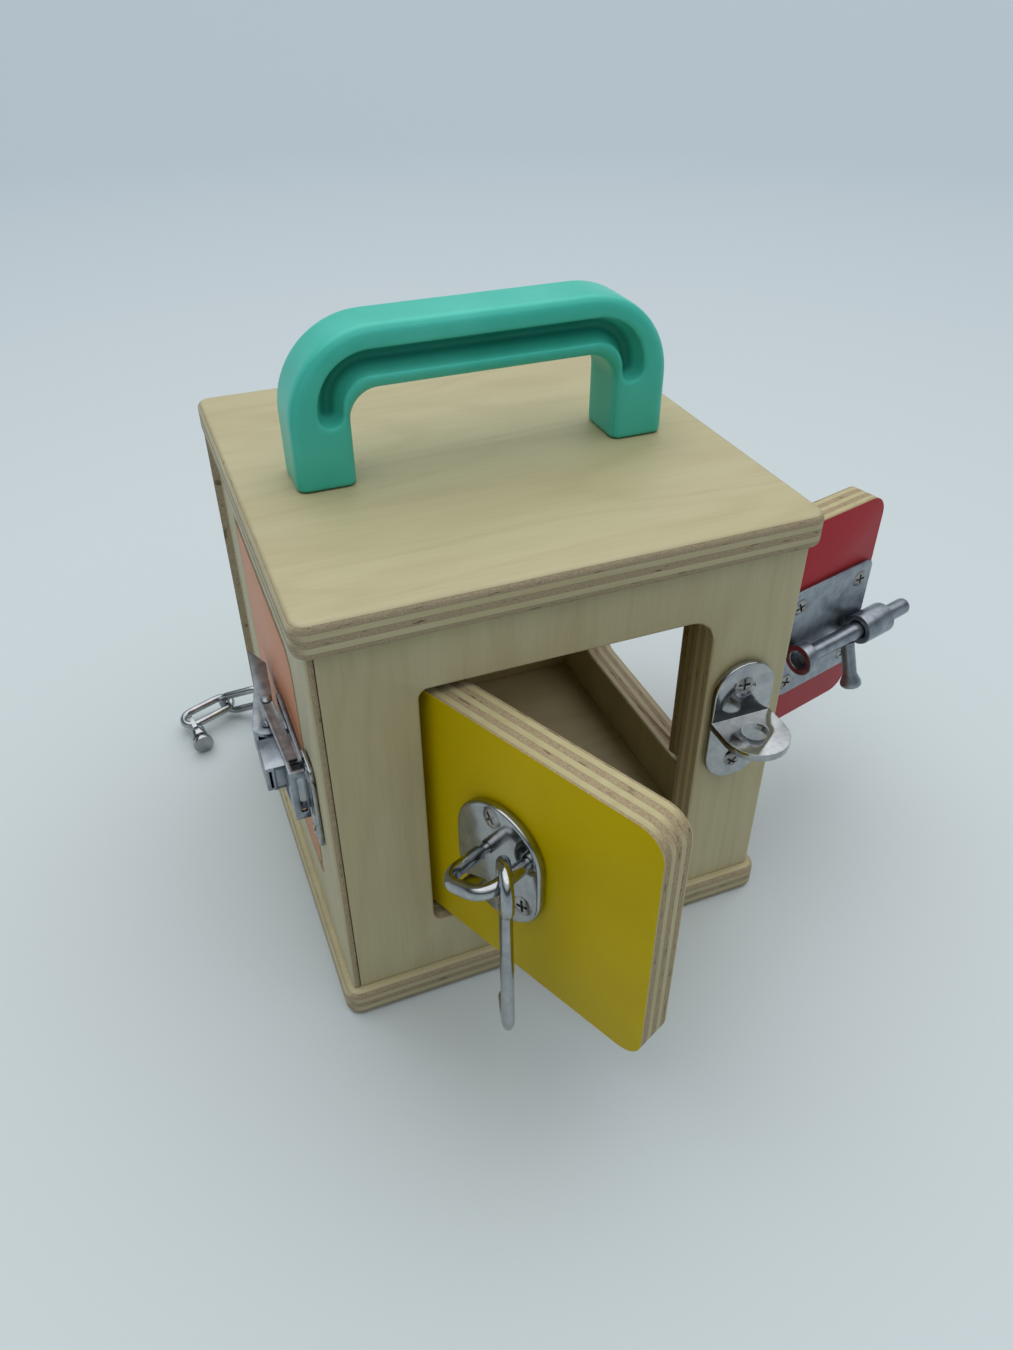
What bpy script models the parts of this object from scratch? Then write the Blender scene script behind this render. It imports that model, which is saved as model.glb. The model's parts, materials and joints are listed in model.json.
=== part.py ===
"""Wooden latch box: a plywood cube with a door in each wall, every door held by a latch of its own kind.

The box stands on the XY plane with its front towards -Y, and the origin is the centre of its underside.
Each wall has a side frame, an empty in which the wall lies at -Y, and each door has a hinge frame on its
pivot axis, from which the door runs towards +X. Lengths are in metres.
"""

import math

import bmesh
import bpy
from mathutils import Matrix

MM = 0.001

# Fits and cutters
seatGap = 0.3 * MM
overrun = 3.0 * MM
mergeGap = 0.002 * MM

# Plywood box
wallSpan = 150.0 * MM
wallTall = 134.5 * MM
plywood = 11.5 * MM
baseThick = 11.0 * MM
topThick = 11.0 * MM
plateOverhang = 3.0 * MM
plateCorner = 5.0 * MM
plateRound = 1.8 * MM
lipThick = 2.2 * MM
lipRound = 1.2 * MM
backLipProud = 2.5 * MM

# Openings, doors and their pivot pins
openingWide = 92.0 * MM
openingTall = 94.0 * MM
openingLift = 1.25 * MM
openingCorner = 8.5 * MM
openingHingeCorner = 3.0 * MM
doorSideGap = 2.0 * MM
doorEndGap = 3.0 * MM
doorCorner = 8.0 * MM
doorHingeCorner = 2.0 * MM
doorHingeRound = 2.0 * MM
doorEase = 0.6 * MM
pinInset = 6.0 * MM
pinRadius = 1.5 * MM
pinShare = 0.5
pinPlay = 0.3 * MM
frontDoorOpen = 65.6
rightDoorOpen = 75.5

# Handle
handleSpan = 120.5 * MM
handleTall = 46.5 * MM
handleDeep = 20.6 * MM
handleLimb = 18.2 * MM
handleArch = 27.0 * MM
handleEase = 2.2 * MM
grooveWide = 7.4 * MM
grooveSpan = 96.0 * MM
grooveDrop = 10.2 * MM
grooveEndDrop = 24.0 * MM
grooveArch = 12.8 * MM
grooveProud = 0.6 * MM
handleScrewRadius = 2.1 * MM
handleScrewHead = 4.2 * MM
handleScrewLength = 34.0 * MM

# Wood screws of the metal fittings
screwRadius = 1.4 * MM
screwHead = 3.4 * MM
screwRise = 0.8 * MM
screwSink = 1.9 * MM
screwTip = 3.0 * MM
screwLength = 10.5 * MM

# Hook and staple on the front door, strike plate on the front wall
eyePlateFromStrike = 62.55 * MM
eyePlateHeight = 82.0 * MM
eyePlateWide = 21.0 * MM
eyePlateLong = 44.0 * MM
eyePlateThick = 3.0 * MM
eyePlateScrews = 28.0 * MM
eyePlateTilt = 21.0
plateEase = 0.8 * MM
stapleWire = 2.3 * MM
stapleSpan = 17.4 * MM
stapleReach = 17.2 * MM
stapleBend = 6.0 * MM
stapleRise = 3.0 * MM
stapleNeck = 1.6 * MM
stapleShoulder = 1.4 * MM
hookWire = 1.9 * MM
hookEye = 6.7 * MM
hookReach = 52.7 * MM
hookBend = 4.5 * MM
hookTip = 12.5 * MM
hookStand = 11.0 * MM
hookTurn = 40.0
hookLean = 8.0
strikeInset = 5.2 * MM
strikeHeight = 85.8 * MM
strikeWide = 21.5 * MM
strikeLong = 46.5 * MM
strikeThick = 2.8 * MM
strikeScrews = 28.0 * MM
tabReach = 19.5 * MM
tabThick = 2.6 * MM
tabHole = 4.3 * MM
tabHoleOut = 9.3 * MM
tabRise = 1.2 * MM

# Barrel bolt on the right door, its keeper on the right wall
boltPlateInset = 2.0 * MM
boltPlateWide = 43.0 * MM
boltPlateTall = 47.0 * MM
boltPlateHeight = 74.0 * MM
boltPlateThick = 1.6 * MM
boltPlateCorner = 3.0 * MM
boltScrewsWide = 33.5 * MM
boltScrewsTall = 34.0 * MM
boltHeight = 71.5 * MM
boltRadius = 3.3 * MM
boltPlay = 0.35 * MM
sleeveWall = 2.4 * MM
sleeveSink = 0.4 * MM
rearSleeveLong = 5.0 * MM
frontSleeveInset = 11.0 * MM
frontSleeveLong = 15.0 * MM
boltPast = 6.5 * MM
boltLong = 60.0 * MM
boltDome = 2.4 * MM
knobInset = 17.0 * MM
knobStem = 2.6 * MM
knobTenon = 1.4 * MM
knobReach = 21.5 * MM
knobEnd = 4.0 * MM
knobEndLong = 5.0 * MM
knobSwing = 19.0
boltKeeperShare = 0.6
boltKeeperWide = 12.0 * MM
boltKeeperTall = 40.0 * MM
boltKeeperScrews = 27.0 * MM
boltKeeperSleeve = 8.0 * MM

# Toggle latch on the left door, its keeper on the left wall
latchHeight = 80.5 * MM
latchSheet = 1.2 * MM
latchCorner = 2.6 * MM
leverPivotInset = 22.5 * MM
leverPivotOut = 7.2 * MM
leverWide = 9.0 * MM
leverNose = 5.0 * MM
leverLong = 43.5 * MM
leverTipOut = 5.6 * MM
leverWaistBack = 23.0 * MM
leverWaistOut = 7.4 * MM
leverToeBack = 33.5 * MM
leverToeOut = 1.2 * MM
leverPin = 1.2 * MM
leverRivet = 1.8 * MM
leverRivetRise = 1.0 * MM
leverKnuckle = 2.6 * MM
leverKnuckleWide = 6.0 * MM
latchBaseInset = 0.5 * MM
latchBaseLong = 37.5 * MM
latchBaseDrop = 17.5 * MM
latchBaseTall = 23.0 * MM
latchScrewDrop = 12.0 * MM
latchScrewInset = 7.0 * MM
housingInset = 1.0 * MM
housingLong = 15.0 * MM
housingOut = 12.4 * MM
clawPivotBack = 6.5 * MM
clawPivotDrop = 1.5 * MM
clawWide = 19.0 * MM
clawPin = 1.1 * MM
clawRivetRise = 0.7 * MM
clawArm = 2.0 * MM
clawFall = 1.3 * MM
clawBridgeGap = 1.6 * MM
clawEndTall = 4.6 * MM
clawSlotLong = 14.0 * MM
clawSlotWide = 2.2 * MM
keeperShare = 0.66
keeperLong = 12.5 * MM
keeperTall = 32.0 * MM
keeperScrews = 23.0 * MM
keeperScrewInset = 4.2 * MM
lipInset = 0.8 * MM
lipWide = 15.0 * MM
lipOut = 4.8 * MM
latchSlack = 0.8 * MM

# Door chain: anchor plate on the back wall, five links, stud, and the track on the back door
chainInset = 3.0 * MM
chainHeight = 63.4 * MM
chainPlateWide = 18.0 * MM
chainPlateLong = 38.0 * MM
chainPlateThick = 1.8 * MM
chainPlateScrews = 26.0 * MM
chainEyeSpan = 11.0 * MM
chainEyeReach = 12.0 * MM
chainEyeBend = 3.0 * MM
chainWire = 1.75 * MM
chainLinkLong = 26.0 * MM
chainLinkWide = 13.5 * MM
studHead = 4.3 * MM
studHeadThick = 2.0 * MM
studNeck = 1.7 * MM
studNeckLong = 2.6 * MM
studBarrel = 3.4 * MM
studBarrelLong = 5.0 * MM
studLug = 1.8 * MM
studLugRadius = 4.6 * MM
studBore = 3.1 * MM
studLugLong = 4.9 * MM
trackInset = 5.0 * MM
trackLong = 62.0 * MM
trackWide = 20.0 * MM
trackThick = 1.5 * MM
trackScrews = 50.0 * MM
trackChannelLong = 41.0 * MM
trackChannelWide = 12.5 * MM
trackChannelRise = 4.2 * MM
trackSlotWide = 4.4 * MM
trackEntry = 4.8 * MM

# Slide round the last link's end, bend about it and turn aside, for each link and the stud, in degrees
chainLie = (
    (0.0, 0.0, 0.0),
    (0.0, 0.0, 0.0),
    (-21.2, 7.5, 16.6),
    (-5.8, 29.7, -24.4),
    (2.6, 37.7, -13.2),
    (63.3, 4.3, -21.5),
)

# Sides and steps of the round forms
arcSteps = 6
wireSteps = 3
flatLimit = math.radians(0.2)
sharpAngle = math.radians(35)
edgeAngle = math.radians(50)
turnSteps = 14
screwSteps = 12

# Heights and planes that follow from the sizes above
wallLow = baseThick
wallHigh = wallLow + wallTall
outerFace = -wallSpan / 2
middlePlane = outerFace + plywood / 2
openingLow = wallLow + (wallTall - openingTall) / 2 + openingLift
openingHigh = openingLow + openingTall
doorWide = openingWide - 2 * doorSideGap
doorLow = openingLow + doorEndGap
doorTall = openingTall - 2 * doorEndGap
doorHigh = doorLow + doorTall
pinReach = pinShare * (wallHigh - openingHigh)
hingeAlong = -openingWide / 2 + doorSideGap + pinInset
doorFace = -plywood / 2

# Places along a wall, from its middle: the opening's edge and the end of the wall's full thickness
openingEdge = openingWide / 2
wallBodyEnd = wallSpan / 2 - plywood
stileBody = wallBodyEnd - openingEdge
strikeAlong = wallBodyEnd - strikeInset
keeperScrewAlong = openingEdge + keeperShare * stileBody
keeperStart = keeperScrewAlong + keeperScrewInset - keeperLong
keeperLipFar = keeperStart + lipInset + latchSheet
boltKeeperAlong = openingEdge + boltKeeperShare * stileBody
chainAlong = wallBodyEnd - chainInset

# Places along a door, from its pivot axis
doorEnd = doorWide - pinInset
eyePlateAlong = strikeAlong - hingeAlong - eyePlateFromStrike
boltPlateStart = doorEnd - boltPlateInset - boltPlateWide
frontSleeveStart = doorEnd - frontSleeveInset
boltOut = boltKeeperAlong - hingeAlong + boltPast
knobAlong = doorEnd - knobInset
leverPivotAlong = doorEnd - leverPivotInset
latchBaseStart = doorEnd - latchBaseInset - latchBaseLong
housingStart = doorEnd - housingInset - housingLong
clawBridgeStart = doorEnd + clawBridgeGap
clawLipFar = keeperLipFar - hingeAlong
trackMiddle = doorEnd - trackInset - trackLong / 2


def rgb(red, green, blue):
    """Linear colour from the three 8-bit values of a display colour."""
    values = [v / 255 for v in (red, green, blue)]
    return [v / 12.92 if v <= 0.04045 else ((v + 0.055) / 1.055) ** 2.4 for v in values]


finishes = {
    "plywood": (rgb(205, 190, 145), 0.6, 0.0),
    "teal": (rgb(74, 176, 160), 0.4, 0.0),
    "yellow": (rgb(205, 186, 20), 0.45, 0.0),
    "orange": (rgb(205, 120, 85), 0.45, 0.0),
    "red": (rgb(170, 60, 66), 0.45, 0.0),
    "green": (rgb(96, 150, 70), 0.45, 0.0),
    "chrome": (rgb(200, 203, 205), 0.15, 1.0),
    "steel": (rgb(150, 154, 158), 0.3, 1.0),
}


def clearScene():
    for thing in list(bpy.data.objects):
        bpy.data.objects.remove(thing, do_unlink=True)
    for group in list(bpy.data.collections):
        bpy.data.collections.remove(group)


def newCollection(name):
    group = bpy.data.collections.new(name)
    bpy.context.scene.collection.children.link(group)
    return group


def materialFor(name, finish):
    colour, roughness, metallic = finishes[finish]
    made = bpy.data.materials.new(name)
    made.use_nodes = True
    shader = made.node_tree.nodes["Principled BSDF"]
    shader.inputs["Base Color"].default_value = (*colour, 1.0)
    shader.inputs["Roughness"].default_value = roughness
    shader.inputs["Metallic"].default_value = metallic
    return made


# Frames and places

def frameAt(name, parent=None, place=Matrix()):
    frame = bpy.data.objects.new(name, None)
    frames.objects.link(frame)
    frame.empty_display_size = pinReach
    frame.parent = parent
    frame.matrix_local = place
    return frame


def at(x=0.0, y=0.0, z=0.0):
    return Matrix.Translation((x, y, z))


def turn(degrees, axis):
    return Matrix.Rotation(math.radians(degrees), 4, axis)


# A flat outline is drawn in X and Z and faces -Y; a turned one has its axis along -Y.
facing = turn(90, "X")


# Making meshes

def arc(centre, radius, start, end, steps=arcSteps):
    """Points of an arc, both ends included, with angles in degrees from +X towards +Y."""
    points = []
    for step in range(steps + 1):
        angle = math.radians(start + (end - start) * step / steps)
        points.append((centre[0] + radius * math.cos(angle), centre[1] + radius * math.sin(angle)))
    return points


def roundedOutline(left, low, right, high, radii):
    """Rectangle with a radius at each corner: low left, low right, high right, high left."""
    corners = ((left, low, 1, 1), (right, low, -1, 1), (right, high, -1, -1), (left, high, 1, -1))
    points = []
    for index, (x, y, towardsX, towardsY) in enumerate(corners):
        radius = radii[index]
        centre = (x + towardsX * radius, y + towardsY * radius)
        points += arc(centre, radius, 180 + 90 * index, 270 + 90 * index) if radius else [centre]
    return points


def obround(length, width, steps=arcSteps):
    """Outline with round ends, its length along Y."""
    radius = width / 2
    reach = length / 2 - radius
    top = arc((0.0, reach), radius, 0, 180, 2 * steps)
    bottom = arc((0.0, -reach), radius, 180, 360, 2 * steps)
    return top + bottom


def circle(radius, centre=(0.0, 0.0), steps=turnSteps):
    return arc(centre, radius, 0, 360, steps)[:-1]


def meshFrom(source):
    """Evaluated mesh of a temporary object: caps and seams welded, flat faces whole, all turned out."""
    bpy.context.scene.collection.objects.link(source)
    view = bpy.context.evaluated_depsgraph_get()
    mesh = bpy.data.meshes.new_from_object(source.evaluated_get(view))
    bpy.data.objects.remove(source, do_unlink=True)
    work = bmesh.new()
    work.from_mesh(mesh)
    bmesh.ops.remove_doubles(work, verts=work.verts, dist=mergeGap)
    bmesh.ops.dissolve_limit(work, angle_limit=flatLimit, verts=work.verts, edges=work.edges)
    bmesh.ops.recalc_face_normals(work, faces=work.faces)
    work.to_mesh(mesh)
    work.free()
    return mesh


def flatMesh(outline, thickness, holes=()):
    """Sheet of a given thickness about its own plane, from a closed outline and any holes in it."""
    curve = bpy.data.curves.new("outline", "CURVE")
    curve.dimensions = "2D"
    curve.fill_mode = "BOTH"
    curve.extrude = thickness / 2
    for loop in (outline, *holes):
        spline = curve.splines.new("POLY")
        spline.points.add(len(loop) - 1)
        for point, (x, y) in zip(spline.points, loop):
            point.co = (x, y, 0.0, 1.0)
        spline.use_cyclic_u = True
    return meshFrom(bpy.data.objects.new("outline", curve))


def wireMesh(points, radius, closed=False, resolution=wireSteps):
    """Round wire along a line of points."""
    curve = bpy.data.curves.new("wire", "CURVE")
    curve.dimensions = "3D"
    curve.bevel_depth = radius
    curve.bevel_resolution = resolution
    curve.use_fill_caps = not closed
    spline = curve.splines.new("POLY")
    spline.points.add(len(points) - 1)
    for point, co in zip(spline.points, points):
        point.co = (*co, 1.0)
    spline.use_cyclic_u = closed
    return meshFrom(bpy.data.objects.new("wire", curve))


def turnedMesh(profile, steps=turnSteps):
    """Solid of revolution about Z from (radius, height) points, listed from the top down its outer side."""
    mesh = bpy.data.meshes.new("profile")
    edges = [(i, i + 1) for i in range(len(profile) - 1)]
    mesh.from_pydata([(radius, 0.0, height) for radius, height in profile], edges, [])
    shape = bpy.data.objects.new("profile", mesh)
    screw = shape.modifiers.new("Turn", "SCREW")
    screw.axis = "Z"
    screw.steps = steps
    screw.render_steps = steps
    screw.use_merge_vertices = True
    screw.merge_threshold = mergeGap
    return meshFrom(shape)


def rod(radius, low, high, steps=turnSteps):
    return turnedMesh([(0.0, high), (radius, high), (radius, low), (0.0, low)], steps)


def together(meshes, places):
    """One mesh that holds a copy of each mesh at its place, each a body of its own."""
    work = bmesh.new()
    for mesh, place in zip(meshes, places):
        copy = mesh.copy()
        copy.transform(place)
        work.from_mesh(copy)
        bpy.data.meshes.remove(copy)
    joined = bpy.data.meshes.new("group")
    work.to_mesh(joined)
    work.free()
    return joined


def copies(mesh, places):
    return together([mesh] * len(places), places)


# Making pieces

def piece(name, mesh, finish, frame=None, place=Matrix()):
    """A named piece of the box in a frame."""
    made = bpy.data.objects.new(name, mesh)
    parts.objects.link(made)
    made.parent = frame
    made.matrix_local = place
    if not mesh.materials:
        mesh.name = name
        mesh.materials.append(materialFor(name, finish))
        mesh.shade_smooth()
        mesh.set_sharp_from_angle(angle=sharpAngle)
    return made


def alike(name, mesh, finish, frame, places):
    """Numbered pieces that share one mesh."""
    return [piece(f"{name}_{number}", mesh, finish, frame, place) for number, place in enumerate(places, 1)]


def cutter(name, mesh, frame=None, place=Matrix()):
    shape = bpy.data.objects.new(name, mesh)
    cutters.objects.link(shape)
    shape.parent = frame
    shape.matrix_local = place
    shape.hide_render = True
    shape.display_type = "WIRE"
    return shape


def combine(target, other, operation):
    change = target.modifiers.new(operation.title(), "BOOLEAN")
    change.operation = operation
    change.object = other
    change.solver = "EXACT"


def cut(target, other):
    combine(target, other, "DIFFERENCE")


def join(target, other):
    combine(target, other, "UNION")


def ease(target, width, segments=2):
    """Rounded edges, wherever two faces meet at a clear angle."""
    bevel = target.modifiers.new("Ease", "BEVEL")
    bevel.width = width
    bevel.segments = segments
    bevel.limit_method = "ANGLE"
    bevel.angle_limit = edgeAngle


def roundEdges(target, width, segments, chosen):
    """Rounded edges, where the chosen test says so of an edge's two ends. Edges inside a flat face stay."""
    mesh = target.data
    work = bmesh.new()
    work.from_mesh(mesh)
    weights = work.edges.layers.float.new("bevel_weight_edge")
    for edge in work.edges:
        first, second = edge.verts
        bent = edge.calc_face_angle(0.0) > edgeAngle
        edge[weights] = 1.0 if bent and chosen(first.co, second.co) else 0.0
    work.to_mesh(mesh)
    work.free()
    bevel = target.modifiers.new("Round", "BEVEL")
    bevel.width = width
    bevel.segments = segments
    bevel.limit_method = "WEIGHT"


# Screws

def screwMesh(headRadius, shankRadius, rise, sink, length, tip):
    """Countersunk wood screw with a low domed head, its seat at height zero."""
    domeShare = 0.6
    domeRiseShare = 0.8
    profile = [
        (0.0, rise),
        (headRadius * domeShare, rise * domeRiseShare),
        (headRadius, 0.0),
        (shankRadius, -sink),
        (shankRadius, tip - length),
        (0.0, -length),
    ]
    return turnedMesh(profile, screwSteps)


def screwHole(headRadius, shankRadius, sink, length, tip, top):
    """Cutter for a screw's seat and its hole, open at the top."""
    profile = [
        (0.0, top),
        (headRadius + seatGap, top),
        (headRadius + seatGap, 0.0),
        (shankRadius + seatGap, -sink),
        (shankRadius + seatGap, tip - length),
        (0.0, -length - seatGap),
    ]
    return turnedMesh(profile, screwSteps)


def fixWithScrews(name, frame, plate, wood, places):
    """Screws through a plate into the wood; each place has the screw's axis along its own Z."""
    mesh = screwMesh(screwHead, screwRadius, screwRise, screwSink, screwLength, screwTip)
    hole = screwHole(screwHead, screwRadius, screwSink, screwLength, screwTip, overrun)
    alike(name, mesh, "steel", frame, places)
    holes = cutter(name + "_holes", copies(hole, places), frame)
    cut(plate, holes)
    cut(wood, holes)


# The wooden box

def outerPlate(name, low, thickness):
    half = wallSpan / 2 + plateOverhang
    outline = roundedOutline(-half, -half, half, half, [plateCorner] * 4)
    plate = piece(name, flatMesh(outline, thickness), "plywood", None, at(z=low + thickness / 2))
    ease(plate, plateRound)
    return plate


def wall(side, frame, proud=0.0):
    """Wall with a door opening. Its right end is rebated to a lip that covers the next wall's end."""
    half = wallSpan / 2
    innerFace = outerFace + plywood
    lipEnd = half + proud
    outline = [(-half + lipThick + seatGap, outerFace)]
    outline += arc((lipEnd - lipRound, outerFace + lipRound), lipRound, 270, 360, wireSteps)
    outline += [
        (lipEnd, outerFace + lipThick),
        (half - plywood - seatGap, outerFace + lipThick),
        (half - plywood - seatGap, innerFace),
        (-half + lipThick + seatGap, innerFace),
    ]
    tall = wallTall - 2 * seatGap
    made = piece(side + "_wall", flatMesh(outline, tall), "plywood", frame, at(z=(wallLow + wallHigh) / 2))
    radii = [openingHingeCorner, openingCorner, openingCorner, openingHingeCorner]
    hole = roundedOutline(-openingWide / 2, openingLow, openingWide / 2, openingHigh, radii)
    opening = flatMesh(hole, plywood + 2 * overrun)
    cut(made, cutter(side + "_opening", opening, frame, at(y=middlePlane) @ facing))
    return made


def door(side, colour, hinge):
    """Door on its pivot axis, rounded along its hinge edge to turn inside the opening."""
    left = -pinInset
    right = doorWide - pinInset
    plan = roundedOutline(left, -plywood / 2, right, plywood / 2, [doorHingeRound, 0, 0, doorHingeRound])
    middle = at(z=(doorLow + doorHigh) / 2)
    made = piece(side + "_door", flatMesh(plan, doorTall + 2 * overrun), colour, hinge, middle)
    radii = [doorHingeCorner, doorCorner, doorCorner, doorHingeCorner]
    outline = roundedOutline(left, doorLow, right, doorHigh, radii)
    front = cutter(side + "_door_outline", flatMesh(outline, plywood + 2 * overrun), hinge, facing)
    combine(made, front, "INTERSECT")
    ease(made, doorEase, 1)
    return made


def pivotPins(side, hinge, wallPiece, doorPiece):
    """Two pins on the pivot axis, half in the wall and half in the door's clearance holes."""
    reach = pinReach + doorEndGap / 2
    pin = rod(pinRadius, -reach, reach, screwSteps)
    bore = rod(pinRadius + pinPlay, -reach - seatGap, reach + seatGap, screwSteps)
    places = [at(z=openingLow + doorEndGap / 2), at(z=openingHigh - doorEndGap / 2)]
    alike(side + "_door_pin", pin, "steel", hinge, places)
    drill = cutter(side + "_pin_bores", copies(bore, places), hinge)
    cut(wallPiece, drill)
    cut(doorPiece, drill)


def handle(topPlate):
    """Arched handle with a finger groove on both faces, held by two screws from under the top plate."""
    low = wallHigh + topThick + seatGap
    high = wallHigh + topThick + handleTall
    half = handleSpan / 2
    innerHalf = half - handleLimb
    innerHigh = high - handleLimb
    innerArch = handleArch - handleLimb
    outline = [(-half, low)]
    outline += arc((-half + handleArch, high - handleArch), handleArch, 180, 90)
    outline += arc((half - handleArch, high - handleArch), handleArch, 90, 0)
    outline += [(half, low), (innerHalf, low)]
    outline += arc((innerHalf - innerArch, innerHigh - innerArch), innerArch, 0, 90)
    outline += arc((-innerHalf + innerArch, innerHigh - innerArch), innerArch, 90, 180)
    outline += [(-innerHalf, low)]
    made = piece("handle", flatMesh(outline, handleDeep), "teal", None, facing)

    def onFace(first, second):
        onFoot = max(first.y, second.y) < low + mergeGap
        return abs(first.z - second.z) < mergeGap and not onFoot

    roundEdges(made, handleEase, 2, onFace)

    grooveHalf = grooveSpan / 2
    grooveHigh = high - grooveDrop
    route = [(-grooveHalf, high - grooveEndDrop)]
    route += arc((-grooveHalf + grooveArch, grooveHigh - grooveArch), grooveArch, 180, 90)
    route += arc((grooveHalf - grooveArch, grooveHigh - grooveArch), grooveArch, 90, 0)
    route += [(grooveHalf, high - grooveEndDrop)]
    radius = math.hypot(grooveWide / 2, grooveProud)
    channel = wireMesh([(x, z, 0.0) for x, z in route], radius)
    ball = bmesh.new()
    bmesh.ops.create_uvsphere(ball, u_segments=turnSteps, v_segments=arcSteps, radius=radius)
    end = bpy.data.meshes.new("groove_end")
    ball.to_mesh(end)
    ball.free()
    for face, depth in (("front", -handleDeep / 2 - grooveProud), ("back", handleDeep / 2 + grooveProud)):
        plane = at(y=depth) @ facing
        cut(made, cutter("groove_" + face, channel.copy(), None, plane))
        ends = [plane @ at(x=side * grooveHalf, y=high - grooveEndDrop) for side in (-1, 1)]
        cut(made, cutter("groove_ends_" + face, copies(end, ends)))

    radius = handleScrewRadius
    sink = handleScrewHead - radius
    places = [at(x=side * (half - handleLimb / 2), z=wallHigh) @ turn(180, "X") for side in (-1, 1)]
    mesh = screwMesh(handleScrewHead, radius, 0.0, sink, handleScrewLength, screwTip)
    hole = screwHole(handleScrewHead, radius, sink, handleScrewLength, screwTip, seatGap)
    alike("handle_screw", mesh, "steel", None, places)
    holes = cutter("handle_screw_holes", copies(hole, places))
    cut(topPlate, holes)
    cut(made, holes)
    return made


# Front door: hook, staple and strike plate

def eyePlateAndStaple(hinge, doorPiece):
    centre = at(eyePlateAlong, doorFace, eyePlateHeight) @ turn(-eyePlateTilt, "Y")
    tilted = frameAt("eye_plate_frame", hinge, centre)
    plate = piece(
        "eye_plate",
        flatMesh(obround(eyePlateLong, eyePlateWide), eyePlateThick),
        "chrome",
        tilted,
        at(y=-eyePlateThick / 2 - seatGap) @ facing,
    )
    ease(plate, plateEase)
    seat = eyePlateThick + seatGap
    places = [at(0.0, -seat, side * eyePlateScrews / 2) @ facing for side in (-1, 1)]
    fixWithScrews("eye_plate_screw", tilted, plate, doorPiece, places)

    half = stapleSpan / 2
    bend = stapleReach - stapleBend
    root = seat + stapleShoulder
    route = [(-half, -root)]
    route += arc((-half + stapleBend, -bend), stapleBend, 180, 270)
    route += arc((half - stapleBend, -bend), stapleBend, 270, 360)
    route += [(half, -root)]
    level = at(z=stapleRise)
    loop = wireMesh([(x, y, 0.0) for x, y in route], stapleWire)
    staple = piece("staple", loop, "chrome", tilted, level)
    necks = [at(side * half, -root, stapleRise) @ facing for side in (-1, 1)]
    stub = rod(stapleNeck, 2 * seatGap - root, stapleShoulder, screwSteps)
    join(staple, cutter("staple_necks", copies(stub, necks), tilted))
    bore = rod(stapleNeck + seatGap, -root - overrun, 0.0, screwSteps)
    cut(plate, cutter("staple_bores", copies(bore, necks), tilted))


def hook(hinge):
    """Flat hook whose eye rides on the staple's right leg. It hangs in a plane turned from the door's."""
    tilt = math.radians(eyePlateTilt)
    along = eyePlateAlong + stapleSpan / 2 * math.cos(tilt) - stapleRise * math.sin(tilt)
    height = eyePlateHeight + stapleSpan / 2 * math.sin(tilt) + stapleRise * math.cos(tilt)
    axis = frameAt("hook_axis", hinge, at(along, doorFace - hookStand - seatGap, height))
    lay = turn(180 - hookTurn, "Z") @ turn(hookLean, "Y")
    innerEye = hookEye - hookWire
    eyeHeight = stapleWire + seatGap - innerEye
    bpy.ops.mesh.primitive_torus_add(
        major_segments=2 * turnSteps,
        minor_segments=screwSteps,
        major_radius=hookEye,
        minor_radius=hookWire,
    )
    ring = bpy.context.object
    mesh = ring.data.copy()
    bpy.data.objects.remove(ring, do_unlink=True)
    mesh.transform(at(z=eyeHeight) @ facing)
    made = piece("hook", mesh, "chrome", axis, lay)
    low = eyeHeight - hookReach
    route = [(0.0, 0.0, eyeHeight - hookEye)]
    route += [(x, 0.0, z) for x, z in arc((hookBend, low + hookBend), hookBend, 180, 270)]
    route += [(hookTip, 0.0, low)]
    shank = cutter("hook_shank", wireMesh(route, hookWire), axis, lay)
    ease(shank, hookWire / 2)
    join(made, shank)


def strikePlate(frame, wallPiece):
    plate = piece(
        "strike_plate",
        flatMesh(obround(strikeLong, strikeWide), strikeThick),
        "chrome",
        frame,
        at(strikeAlong, outerFace - seatGap - strikeThick / 2, strikeHeight) @ facing,
    )
    ease(plate, plateEase)
    root = outerFace - seatGap - strikeThick / 2
    end = outerFace - seatGap - strikeThick - tabReach
    half = strikeWide / 2
    outline = [(-half, root), (-half, end + half)]
    outline += arc((0.0, end + half), half, 180, 360, 2 * arcSteps)[1:]
    outline += [(half, root)]
    hole = circle(tabHole, (0.0, end + tabHoleOut + tabHole / 2), turnSteps)
    level = at(strikeAlong, 0.0, strikeHeight + tabRise)
    tab = cutter("strike_tab", flatMesh(outline, tabThick, [hole]), frame, level)
    join(plate, tab)
    top = outerFace - seatGap - strikeThick
    places = [at(strikeAlong, top, strikeHeight + side * strikeScrews / 2) @ facing for side in (-1, 1)]
    fixWithScrews("strike_plate_screw", frame, plate, wallPiece, places)


# Right door: barrel bolt and keeper

def sleeveMesh(start, length, bore, out):
    """Ring about the bolt's axis, from its start along X."""
    ring = turnedMesh(
        [
            (bore, length),
            (bore + sleeveWall, length),
            (bore + sleeveWall, 0.0),
            (bore, 0.0),
            (bore, length),
        ],
        turnSteps,
    )
    ring.transform(at(start, out, boltHeight) @ turn(90, "Y"))
    return ring


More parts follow.
